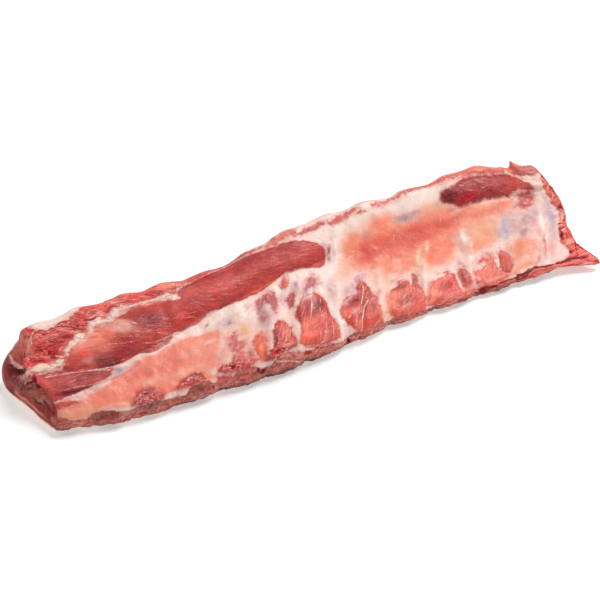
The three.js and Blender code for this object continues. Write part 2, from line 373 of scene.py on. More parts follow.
# Outlines on the rib side, millimetres: s along the piece, v across it
# Bare muscles: name, colour, height, softness of the rim, turn of the fibres, places round it
MUSCLES = (
    ("between", (218, 108, 98), 0, 2.4, -22, (
        (2, 49), (5, 60), (14, 62), (22, 61.5), (28, 64), (34, 70), (40, 76), (46, 78.5), (53, 77.5),
        (58, 78), (61, 84), (64, 87), (72, 85), (80, 85.5), (88, 91), (98, 90), (110, 89.5), (126, 91),
        (142, 91.5), (146, 88), (142, 84), (134, 83.5), (124, 87), (108, 86), (96, 85), (86, 80.5),
        (74, 78.5), (64, 76), (54, 73), (46, 69), (40, 63), (36, 56), (30, 51), (20, 49),
    )),
    ("tenderloin", (192, 70, 68), 0, 1.1, -12, (
        (26, 47), (30, 51), (35, 56), (39, 62), (44, 67), (50, 71), (57, 74), (66, 76), (76, 78), (86, 80),
        (92, 82), (99, 84.5), (108, 85.5), (118, 86.5), (126, 86), (132, 83), (139, 80.5), (146, 81),
        (142, 84.5), (146, 88), (152, 90.5), (162, 93.5), (174, 95), (186, 96), (197, 97.5), (208, 97),
        (216, 95), (226, 92), (238, 90), (250, 88), (260, 86.5), (268, 84), (276, 81.5), (282, 78),
        (285.5, 73), (286, 67), (282, 61.5), (277, 59), (270, 61.5), (262, 64), (252, 65.5), (243, 66),
        (236, 63.5), (224, 62), (210, 62), (196, 63), (182, 62.5), (170, 61.5), (163, 60.5), (158, 57.5),
        (151, 54.5), (142, 53), (132, 52.5), (126, 52), (128, 48), (122, 45), (114, 43), (106, 41.3),
        (98, 41), (93, 43.3), (84, 42.8), (76, 40.5), (66, 38.3), (58, 38), (50, 40), (42, 42.5),
        (33, 43.5),
    )),
    ("flank", (178, 72, 76), 0, 1.2, 3, (
        (-6, 12), (-2, 50), (8, 50), (16, 49.5), (25, 46.5), (34, 43.5), (44, 41), (54, 38.5), (62, 36),
        (66, 34), (60, 30), (54, 27.5), (46, 25), (38, 22.5), (28, 20), (18, 17.5), (9, 15.5), (2, 14),
    )),
    ("low_strip", (216, 88, 78), 0, 2, 10, (
        (-6, 4), (2, 11), (10, 12), (18, 12), (24, 9), (14, 6.5), (6, 5),
    )),
    ("torn", (210, 68, 66), 0, 1.6, -24, (
        (-6, 56), (-6, 104), (5, 104), (7, 96), (10, 91.6), (20, 89.4), (30, 89.5), (42, 92), (48, 95),
        (56, 99), (66, 103), (80, 106), (110, 106), (134, 104), (150, 101), (160, 98), (152, 93), (140, 91),
        (128, 90.5), (116, 89), (104, 88.5), (96, 90), (90, 91), (85, 88), (78, 84.5), (70, 84), (64, 85.5),
        (61, 82), (58, 76.5), (52, 76), (45, 77), (39, 75), (33, 69), (27, 63), (21, 60), (12, 60.5),
        (5, 58),
    )),
    ("crest_pink", (214, 104, 98), 0, 3, -8, (
        (150, 93), (164, 95), (180, 97), (196, 99), (214, 99), (222, 97), (232, 96), (214, 104), (190, 108),
        (160, 106),
    )),
    ("crest_mid", (238, 146, 124), 0, 4, 0, (
        (236, 92), (246, 92), (258, 92.5), (268, 93.5), (262, 96.5), (250, 97), (240, 96),
    )),
    ("strip_a", (204, 108, 106), 0.3, 2.2, 4, (
        (264, 89.5), (272, 89.4), (281, 90.6), (290, 91), (300, 91.4), (291, 93.2), (279, 93.4),
        (271, 91.6),
    )),
    ("strip_b", (212, 116, 112), 0.3, 2.4, 10, (
        (302, 90.2), (309, 90), (317, 91), (325, 92.6), (333, 96.4), (324, 96.4), (313, 94), (305, 92),
    )),
    ("strip_c", (232, 120, 92), 0.2, 1.8, 0, (
        (331, 91), (333, 92.2), (336, 91.6), (338, 90.7), (335, 90.2),
    )),
    ("strip_d", (222, 134, 126), 0.2, 2.6, 0, (
        (346, 94.4), (354, 93.6), (362, 94), (374, 96), (388, 97), (404, 97.6), (404, 100), (384, 99),
        (366, 96.6),
    )),
    ("crest_right", (230, 124, 110), 0.3, 2.4, 0, (
        (384, 100), (398, 97.6), (412, 96), (424, 95.6), (440, 95), (456, 93.5), (472, 92), (484, 91),
        (489, 95), (500, 101), (500, 112), (440, 112), (410, 108),
    )),
    ("chip_side", (228, 118, 102), 0.2, 2, 0, (
        (487, 96), (490, 92), (497, 90.6), (503, 92), (506, 97), (508, 112), (486, 112),
    )),
    ("crest_end", (196, 116, 108), 0.7, 1.6, 0, (
        (497, 91), (500, 94.5), (507, 96.5), (515, 98), (521, 95), (518, 88.5), (509, 87), (500, 88.5),
    )),
    ("neck", (156, 52, 58), 0, 2, -20, (
        (413.5, 82), (416, 86), (422, 88.3), (430, 87.5), (435, 89.5), (446, 91), (458, 91.3), (472, 90.3),
        (486, 89), (495, 87), (500, 81), (505, 74.5), (498, 74.5), (490, 76.5), (484, 74.5), (478, 70.5),
        (470, 71), (462, 72), (454, 73.5), (446, 71.5), (438, 71.2), (430, 73), (424, 76), (418, 79),
    )),
    ("neck_spot", (188, 86, 92), 0.1, 3, -40, (
        (479, 62), (482, 68), (489, 72), (499, 74), (500, 68), (494, 62), (487, 59),
    )),
    ("lens_1", (214, 118, 116), 0.3, 4, 54, (
        (160, -3), (166, 6), (168, 14), (172, 22), (175, 30), (181, 31), (183, 22), (184, 10), (184, -2),
        (176, -4),
    )),
    ("lens_2", (242, 122, 98), 0.5, 3, 60, (
        (188, -2), (188, 8), (191, 15), (197, 22), (202, 23), (201, 12), (197, 0), (192, -4),
    )),
    ("lens_3", (202, 78, 72), 1, 1.8, 56, (
        (205.5, 3), (206.5, 11), (210, 19), (215, 25), (221, 28.5), (225, 25), (227, 16), (227.5, 7),
        (226, -2), (216, -4), (208, -1),
    )),
    ("top_3", (192, 104, 100), 0.3, 3, 60, (
        (216, 42), (216, 50), (218, 57), (224, 57), (227, 50), (226, 43), (221, 39),
    )),
    ("top_3b", (184, 124, 134), 0.1, 3.4, 60, (
        (208, 38), (208, 48), (212, 55), (217, 56), (216, 46), (213, 38),
    )),
    ("spot_4", (178, 76, 86), 0.2, 2, 60, (
        (235, 36), (236, 42), (241, 47.5), (245, 48), (243, 41), (239, 36),
    )),
    ("spot_5", (234, 116, 98), 0.2, 3, 0, ((236, 56.6), (239, 60.5), (243, 61), (243, 57.5), (239, 55))),
    ("lens_5", (214, 92, 82), 1.2, 2, 54, (
        (228, -1), (233, 5), (237, 12), (236, 22), (238, 29), (243, 36), (249, 41), (257, 44), (264, 42),
        (268, 35), (268.5, 24), (268, 12), (269, 1), (268, -8), (255, -9), (243, -9), (233, -5),
    )),
    ("top_5", (196, 130, 140), 0.1, 4, 50, ((258, 46), (262, 52), (267, 54), (269, 50), (265, 45))),
    ("lens_6", (196, 70, 64), 1.2, 2, 54, (
        (276.5, 9), (279, 16), (284, 22), (289, 27), (295, 29), (301, 27), (304, 33), (307, 39), (313, 40),
        (315.5, 31), (317, 18), (317, 6), (315, -10), (305, -12), (294, -12), (286, -8), (280, 1),
    )),
    ("lens_7", (222, 102, 90), 1.1, 2.2, 50, (
        (325, -4), (326, 6), (330, 14), (337, 21), (345, 25.5), (353, 25), (357, 22), (360, 29), (363, 27),
        (363.5, 17), (363.5, 6), (361, -4), (358, -12), (346, -12), (332, -10),
    )),
    ("lens_8", (230, 110, 102), 1, 2.4, 50, (
        (362, -5), (364, 3), (369, 10), (376, 16), (384, 20), (394, 22), (399, 17), (400, 6), (399, -6),
        (388, -10), (371, -9),
    )),
    ("lobe_8", (208, 102, 94), 0.7, 2.6, 70, (
        (401, 3), (401.5, 14), (403.5, 22), (408, 25), (412, 16), (412, 6), (407, 1),
    )),
    ("lens_9", (238, 128, 114), 0.8, 4, 50, (
        (418, 2), (420, 12), (426, 19), (434, 24), (440, 22), (443, 12), (447, 1), (440, -5), (428, -4),
    )),
    ("lobe_9", (212, 96, 88), 0.8, 2, 70, (
        (443, 6), (445.5, 15), (448, 23), (453, 25.5), (457, 18), (457, 8), (451, 2),
    )),
    ("shoulder_edge", (222, 92, 82), 0.3, 1.2, 30, (
        (500, 0), (505, 5), (509, 11), (508, 18), (510, 26), (513, 34), (515, 40), (515, 49), (512, 58),
        (511, 66), (514, 76), (519, 88), (540, 88), (540, -30), (512, -30), (500, -8),
    )),
    ("flap_root", (230, 118, 102), 0.4, 1.4, 8, (
        (462, -6), (470, -4), (476, -2.5), (482, -4), (488, -4.5), (494, -2.6), (502, -0.6), (510, 1),
        (512, -14), (462, -14),
    )),
    ("rib_clump_a", (192, 92, 92), 0.7, 3, 20, (
        (69, -2), (74, 4), (80, 8.5), (87, 9.5), (93, 7), (98, 1), (96, -5), (80, -6),
    )),
    ("rib_clump_b", (190, 74, 72), 0.6, 2, 20, (
        (111, 0), (117, 3.5), (124, 6.5), (131, 7.5), (136, 5), (137, 0), (124, -3),
    )),
    ("rib_clump_c", (206, 78, 76), 0.5, 2, 10, (
        (152, 2), (156, 6), (162, 5.5), (170, 4), (180, 1.5), (187, -2), (178, -5), (166, -4), (157, -2),
    )),
    ("rib_clump_d", (200, 74, 72), 0.5, 1.6, 10, (
        (192, -5), (198, -1.5), (204, 3), (213, 4), (219, 0), (214, -5), (204, -6),
    )),
    ("rib_clump_e", (220, 104, 96), 0.3, 2.4, 10, (
        (145, -8), (148, -4), (156, -4.5), (161, -8), (157, -13), (149, -12),
    )),
    ("rim_f", (226, 112, 102), 0.2, 2.4, 6, (
        (372, -12), (376, -5), (392, -2), (410, -3), (424, -4), (446, -4), (430, -9), (400, -13),
    )),
)
# A roll of torn meat by the hip cut, which only threads run over
FOLD = ((3, 60), (12, 56), (24, 57), (32, 64), (28, 72), (14, 76), (3, 74))
# Firm fat over the muscle: softness, places round it
FAT_PATCHES = (
    (1.2, (
        (9, 97), (14, 94.6), (22, 93.8), (32, 94), (42, 95.5), (50, 99), (58, 102), (66, 108), (66, 118),
        (8, 118), (6, 104),
    )),
    (1, ((5, 52), (8, 56.5), (13, 58.5), (18, 57), (21, 53.5), (17, 51), (10, 50.5))),
    (1.4, (
        (62, 82), (66, 85), (70, 82.5), (78, 81.5), (84, 84.5), (88, 88), (92, 86), (88, 82.5), (80, 79.6),
        (70, 80),
    )),
    (1.3, ((38, 66), (41, 71), (46, 75.5), (51, 76.5), (54, 74), (51, 71), (45, 67))),
    (1.2, ((25, 53), (27, 58), (31, 60.5), (33, 57), (30, 53.5))),
    (1.2, ((33, 61), (36, 66), (40, 68), (40, 64), (36, 60))),
    (1.3, ((61, 80), (62, 86), (65, 87.5), (67, 84), (65, 80))),
    (1.2, (
        (96, 86), (106, 87), (118, 87.5), (130, 86), (138, 83), (143, 83), (139, 86.4), (128, 88.6),
        (112, 88.4), (100, 87.6),
    )),
)
# Soft bands of fat and sinew over muscle and membrane: colour, softness, strength, places round it
BANDS = (
    ((255, 224, 208), 2.2, 1, (
        (2, 50), (5, 57), (12, 60), (22, 58), (28, 56), (34, 60), (33, 52), (24, 49), (12, 48),
    )),
    ((240, 150, 134), 2.6, 0.65, ((27, 50), (30, 58), (36, 64), (42, 70), (46, 68), (40, 60), (36, 53))),
    ((255, 222, 208), 2, 1, (
        (35, 63), (39, 70), (45, 76), (52, 76), (58, 79), (62, 83), (66, 80), (60, 74), (52, 70), (44, 66),
    )),
    ((255, 224, 210), 1.8, 1, (
        (60, 80), (63, 86.5), (68, 85), (76, 83), (82, 85), (89, 88.6), (98, 88), (112, 87.6), (126, 88.4),
        (138, 89), (144, 86), (144, 82), (134, 83), (124, 86.2), (108, 85.6), (97, 85), (88, 82),
        (78, 79.6), (68, 79),
    )),
    ((240, 160, 150), 2, 0.8, (
        (25, 11), (22, 15), (30, 18), (42, 22), (54, 26), (48, 21.5), (38, 17), (32, 12),
    )),
    ((250, 212, 200), 2.6, 0.75, (
        (84, 38.5), (92, 41), (104, 40), (116, 43.5), (126, 48), (134, 52), (150, 54.5), (162, 59),
        (170, 60), (168, 53), (152, 47), (136, 44.5), (120, 41), (104, 37.5), (92, 36.5),
    )),
    ((226, 110, 100), 2.5, 0.6, (
        (20, 61), (27, 65), (33, 71), (38, 77), (44, 80), (38, 71), (30, 62), (24, 58),
    )),
    ((232, 130, 116), 4, 0.75, (
        (66, 92), (80, 95), (96, 97), (112, 97), (130, 96), (150, 97), (160, 100), (140, 103), (110, 104),
        (80, 103), (64, 98),
    )),
)
# Thin pale lines over muscle, one of them a painted highlight streak: width, places along
FAT_LINES = (
    (0.7, ((254, -3), (258, 3), (260, 9))), (0.7, ((261, -4), (264, 2), (266, 9))),
    (0.6, ((248, -4), (251, 1), (252, 6))),
    (1.5, ((10, 43.5), (20, 42.5), (30, 41.5), (42, 39.5), (52, 37.5), (62, 34.5))),
    (0.8, ((12, 46), (24, 44), (34, 42.5))), (1.2, ((38, 40.5), (50, 39.2), (60, 37))),
    (0.8, ((14, 24), (28, 25), (42, 24.5), (50, 26))), (0.7, ((20, 31), (32, 33), (44, 32))),
    (0.9, ((4, 85), (12, 85.5), (20, 84.5), (30, 86), (38, 85))),
    (1.3, ((4, 80), (4.4, 87), (8, 91.6), (16, 92.4), (28, 91.4))),
    # The second line here, along the rolled rim by the hip cut, is a painted highlight streak
    (0.8, ((20, 79), (30, 80.5), (42, 80), (50, 78))), (0.6, ((0.6, 66), (1.4, 74), (1, 84), (2.4, 94))),
    (0.8, ((8, 88), (20, 87), (34, 87.5), (46, 90))), (0.8, ((30, 86), (38, 83), (46, 80), (54, 78))),
    (0.8, ((36, 90), (44, 86), (52, 82), (58, 79))), (0.7, ((44, 92), (52, 87), (58, 83), (61, 80))),
    (0.8, ((60, 84), (60, 90), (64, 93.5), (70, 92), (74, 88))),
    (0.8, ((66, 88), (76, 90), (86, 94), (100, 95))), (0.8, ((84, 96), (96, 93), (108, 92), (118, 91))),
    (1.1, ((98, 50), (106, 48.7), (114, 49.2), (124, 50.5), (134, 51.5))),
    (1.4, ((80, 39.2), (90, 41.8), (97, 41.6), (101, 39.6), (110, 40.4), (120, 43), (127, 45.4))),
    (1.1, ((115, 55), (121, 52.5), (127, 50.5), (131, 48), (134, 45))),
    (0.8, ((108, 46), (116, 47.5), (122, 50))), (0.9, ((101, 59.5), (106, 59.3), (109, 58.5))),
    (0.6, ((70, 59), (80, 56), (90, 53.5))), (0.6, ((76, 64), (86, 60), (96, 56.5))),
    (0.6, ((82, 68), (92, 63), (101, 60))), (1, ((84, 79), (90, 75.5), (97, 70.5), (100, 68))),
    (0.7, ((209, 4), (213, 12), (218, 19), (223, 26))), (0.7, ((213, 3), (217, 5), (221, 11))),
    (0.7, ((206, 22), (211, 28), (214, 34))),
    (1.3, ((248, 17), (252, 24), (256, 32), (260, 40), (263, 46))), (1, ((256, 30), (257, 37), (259, 43))),
    (0.9, ((210, 38), (216, 38.4), (222, 37.6))), (0.9, ((213.6, 33), (214, 40), (214.4, 46))),
    (0.8, ((169, 46), (176, 46.4), (183, 45))), (0.8, ((175, 41), (175.6, 47), (176.4, 52))),
    (0.6, ((240, 3), (248, 8), (256, 10))), (0.7, ((254, 0), (258, 3), (264, 4))),
    (1.4, ((301, 15), (304, 20), (308, 27), (310, 31))), (1.6, ((290, -8), (296, 2), (302, 11), (309, 17))),
    (0.9, ((282, 6), (289, 10), (297, 12))), (0.7, ((286, -2), (292, 5), (298, 9))),
    (0.8, ((282, 20), (288, 23), (296, 25))), (1.1, ((352, 12), (354, 19), (357, 26), (360, 32))),
    (0.9, ((356, 14), (358, 21), (361, 27))), (0.8, ((333, -4), (339, 0), (346, 3))),
    (0.8, ((340, 3), (344, 6.5), (349, 7))), (1, ((330, 16), (338, 23), (346, 27.5), (354, 27))),
    (1.2, ((400, -3), (400.6, 8), (401.5, 18), (405, 26))), (0.8, ((378, 3), (384, 9), (390, 16))),
    (0.7, ((386, 1), (391, 3), (396, 10))), (1.1, ((440, 4), (443, 12), (446, 20), (450, 27))),
    (0.8, ((424, 6), (430, 13), (437, 19))), (0.7, ((431, 2), (437, 9), (441, 17))),
    (0.8, ((166, 2), (172, 9), (178, 13), (183, 14))), (0.7, ((170, 12), (175, 18), (181, 20))),
    (0.8, ((161, -2), (168, 3), (175, -1), (184, -3))), (0.7, ((156, 4), (163, 8), (167, 14))),
    (0.5, ((452, 80), (462, 82), (472, 82.5))), (0.5, ((428, 84), (438, 86.5), (450, 88))),
    (1, ((512, 26), (515, 33), (513, 38))), (0.8, ((506, 12), (512, 16), (517, 21))),
    (0.9, ((512, 5), (518, 7), (524, 6))), (1, ((512, 60), (516, 66), (520, 74))),
    (1.1, ((204, -8), (212, -10), (222, -13), (230, -16))),
    (0.9, ((214, -2), (222, -4), (232, -5), (242, -6))),
    (0.9, ((232, -7), (240, -8), (248, -6), (256, -5))), (0.8, ((76, 2), (80, 6), (86, 6))),
    (0.8, ((78, -5), (84, -3), (92, -3))), (0.8, ((120, 2), (126, 4), (134, 3))),
    (1, ((106, -8), (112, -8.5), (118, -6))),
)
# Soft areas of the membrane: colour, softness, strength, places round it
AREAS = (
    (LIGHT_CREAM, 6, 0.9, (
        (124, 44), (134, 52), (156, 54), (172, 60), (206, 60), (232, 60), (256, 62), (280, 57), (292, 66),
        (296, 78), (284, 90), (262, 92), (300, 96), (340, 98), (380, 97), (410, 96), (420, 90), (410, 82),
        (380, 82), (350, 86), (318, 84), (306, 74), (300, 60), (284, 46), (276, 30), (274, 10), (270, -6),
        (266, 30), (270, 48), (250, 56), (230, 50), (226, 30), (230, 4), (222, 34), (214, 58), (200, 52),
        (190, 40), (188, 20), (186, 4), (184, 34), (176, 42), (160, 44), (140, 44),
    )),
    (PEACH, 5, 0.6, (
        (150, 0), (156, 46), (172, 44), (186, 46), (196, 34), (206, 22), (206, 6), (196, -2), (172, -2),
    )),
    (SALMON, 2.2, 1, (
        (-6, 2), (8, 4), (22, 8), (34, 15), (48, 21), (60, 25.5), (72, 29.5), (84, 35), (94, 39),
        (108, 39.4), (118, 42), (128, 43.5), (142, 44), (156, 44), (165, 41), (166, 34), (160, 27),
        (157, 18), (154, 8), (150, -1), (138, -2), (118, -3), (96, -2), (70, -1), (40, -1), (20, -2),
        (-6, -3),
    )),
    ((246, 162, 130), 5, 0.9, ((-6, 3), (14, 4), (30, 8), (34, 0), (30, -8), (8, -8), (-6, -5))),
    ((248, 156, 134), 4, 0.8, ((132, 2), (134, 36), (150, 43), (164, 40), (160, 28), (156, 14), (150, 0))),
    (PEACH, 5, 0.95, (
        (284, 47), (296, 58), (304, 72), (314, 82), (328, 80), (340, 84), (356, 88), (368, 82), (384, 80),
        (398, 84), (410, 82), (424, 73), (440, 70), (460, 70), (478, 68), (478, 56), (462, 52), (456, 38),
        (444, 27), (426, 30), (416, 38), (404, 28), (384, 26), (372, 28), (352, 29), (334, 26), (324, 34),
        (312, 42), (300, 44),
    )),
    ((247, 148, 122), 5, 0.95, (
        (304, 54), (309, 70), (318, 78), (330, 74), (346, 84), (360, 84), (368, 76), (384, 74), (398, 78),
        (410, 77), (424, 71), (440, 69), (456, 68), (474, 66), (466, 58), (452, 60), (438, 58), (424, 56),
        (414, 50), (408, 40), (400, 32), (386, 31), (376, 42), (364, 34), (344, 33), (330, 38), (322, 44),
        (308, 50),
    )),
    ((228, 100, 84), 4, 0.9, (
        (312, 56), (316, 66), (326, 70), (345, 71), (360, 72), (380, 71), (400, 70), (418, 68), (430, 67),
        (422, 61), (404, 57), (386, 53), (370, 54), (350, 55), (336, 53), (322, 51),
    )),
    ((248, 134, 108), 4, 0.8, (
        (378, 36), (380, 50), (392, 54), (408, 52), (412, 44), (404, 34), (392, 31),
    )),
    ((240, 136, 108), 4, 0.7, ((306, 60), (310, 74), (318, 77), (324, 70), (318, 58))),
    ((248, 142, 108), 4, 0.75, ((343, 70), (345, 82), (356, 84), (364, 78), (366, 70))),
    ((236, 146, 116), 5, 0.9, ((457, 10), (458, 24), (466, 31), (480, 32), (489, 28), (486, 16), (478, 9))),
    ((247, 172, 138), 4, 0.8, ((430, 30), (428, 56), (440, 60), (456, 58), (456, 38), (448, 28))),
    ((238, 140, 110), 4, 0.6, ((426, 30), (430, 40), (442, 40), (450, 34), (440, 29))),
    (ORANGE, 3.5, 0.6, ((366, -6), (400, -3), (420, 4), (414, 8), (400, 2), (380, -2))),
    ((244, 158, 120), 3, 0.85, ((420, -3), (444, -3), (460, -2), (480, 4), (476, 10), (462, 8), (450, 3))),
    ((246, 168, 138), 3.5, 0.85, ((320, -8), (321, 8), (328, 16), (336, 16), (334, 2), (332, -8))),
    ((244, 150, 122), 3, 0.6, ((362, -8), (363, 4), (370, 10), (374, 4), (372, -8))),
    ((247, 162, 132), 2.5, 0.9, (
        (-6, -8), (-6, -2), (10, -3), (24, -4), (34, -2), (50, 1), (70, 1.5), (70, -2), (50, -3), (28, -9),
        (10, -9),
    )),
)
# Soft ovals on the membrane: colour, strength, middle along and across, half along and across, lean
MARKS = (
    ((232, 138, 108), 0.8, 475, 22, 8, 9, 0.1), (PEACH, 0.7, 92, 13, 9, 5, 0.5),
    (CORAL, 0.45, 80, 24, 22, 5), (CORAL, 0.3, 116, 26, 12, 8), (ORANGE, 0.4, 60, 10, 22, 6),
    (LIGHT_CREAM, 0.7, 157, 34, 6, 1.2, 0.6), (LIGHT_CREAM, 0.7, 147, 3, 5, 3),
    (PEACH, 0.5, 126, 12, 16, 4, 0.2), (PINK, 0.8, 12, 14, 14, 1.4, 0.2),
    (PALE_PINK, 0.9, 70, 33, 14, 4.4, 0.9), (LILAC, 1.3, 66, 32, 9, 3.6, 0.9),
    ((184, 158, 168), 1, 70, 33.5, 6, 2, 0.9), (LILAC, 0.9, 176, 46, 9, 6, 0.3),
    (MAUVE, 0.75, 159, 50, 2, 2, 0.6), (LILAC, 0.55, 200, 54, 7, 3, 0.3), (PINK, 0.7, 161, 16, 5, 9, 0.7),
    (LILAC, 0.95, 213, 34, 9, 7, 0.5), (MAUVE, 0.55, 209, 42, 4, 9, 0.5), (LILAC, 0.6, 234, 46, 4, 10, 0.3),
    (LILAC, 0.85, 248, 52, 7, 5, 0.3), (MAUVE, 0.6, 250, 54, 4, 3, 0.5), (LILAC, 0.95, 259, 46, 9, 5, 0.4),
    (MAUVE, 0.6, 256, 46, 5, 3, 0.3), (LILAC, 0.85, 277, 36, 6, 12, 0.4),
    (WHITE_FAT, 0.9, 272, 12, 5, 18, -0.05), (MAUVE, 0.9, 289.5, 68, 3, 7, 0.3),
    (LILAC, 0.9, 286, 73, 3, 7, 0.2), (LILAC, 0.8, 297, 72, 3, 10, 0.4), (LILAC, 0.95, 296, 31, 8, 7, 0.5),
    (LILAC, 0.95, 311, 41, 6, 6, 0.5), (LIGHT_CREAM, 0.7, 330, 41, 5, 3), (LILAC, 0.7, 346, 28, 8, 2),
    (GREY_BROWN, 0.4, 332, 74, 7, 2.4), (LILAC, 0.8, 375, 77, 10, 3.6, 0.1),
    (GREY_BROWN, 0.6, 411, 80, 5, 2.4), (YELLOW_CREAM, 0.85, 373, 42, 3, 8, 0.5),
    (YELLOW_CREAM, 0.7, 383, 48, 2, 5, 0.5), (WHITE_FAT, 0.9, 424, 47, 4, 7, -0.1),
    (LILAC, 0.7, 417, 43, 3, 8, -0.1), (LILAC, 0.7, 409, 28, 4, 4, 0.4),
    (PALE_PINK, 0.85, 438, 29, 13, 3, 0.2), (LILAC, 0.5, 456, 42, 3, 12, 0.2),
    ((192, 178, 196), 0.95, 463, 44, 4, 11, 0.3), (LILAC, 0.7, 470, 46, 6, 12, 0.3),
    (MAUVE, 0.5, 483, 47, 12, 9, 0.2), (MAUVE, 0.8, 479, 37, 5, 3.4), (PINK, 0.6, 492, 38, 6, 8, 0.2),
    (LILAC, 0.6, 492, 52, 8, 10, 0.2), (LILAC, 0.7, 506, 40, 5, 28, 0.1),
    ((192, 174, 190), 0.8, 507, 46, 2.8, 20, 0.08), (WHITE_FAT, 0.8, 498, 40, 2.4, 20, 0.1),
    (CORAL, 0.7, 493, 20, 1.5, 13, 0.45), (CORAL, 0.6, 481, 6, 2, 7, 0.6), (PINK, 0.8, 496, 14, 4, 9, 0.4),
    (YELLOW_CREAM, 0.7, 472, 12, 7, 3), (PINK, 0.4, 300, 93, 24, 3), (PINK, 0.6, 360, 92, 14, 2.4),
    (CORAL, 0.35, 452, 62, 16, 3, 0.2), (PINK, 0.6, 436, 93, 24, 1.6), (ORANGE, 0.7, 474, 66, 8, 2.4),
    (RED_BLUSH, 0.5, 330, 61, 8, 4), (RED_BLUSH, 0.5, 384, 66, 8, 3), (ORANGE, 0.5, 352, 50, 16, 5),
    ((164, 124, 134), 0.8, 179, 46, 2.2, 4.4, 0.1), ((178, 138, 150), 0.8, 208, 36, 3, 5, 0.3),
    ((244, 134, 112), 0.9, 322, 20, 3, 4, 0.5), ((186, 152, 152), 1, 373, 77.6, 8, 2.4, 0.1),
    ((204, 160, 156), 0.8, 386, 79, 9, 2), ((248, 182, 142), 0.9, 188, 33, 3, 6, 0.2),
    ((170, 134, 130), 0.5, 340, 101.5, 70, 1.3),
)
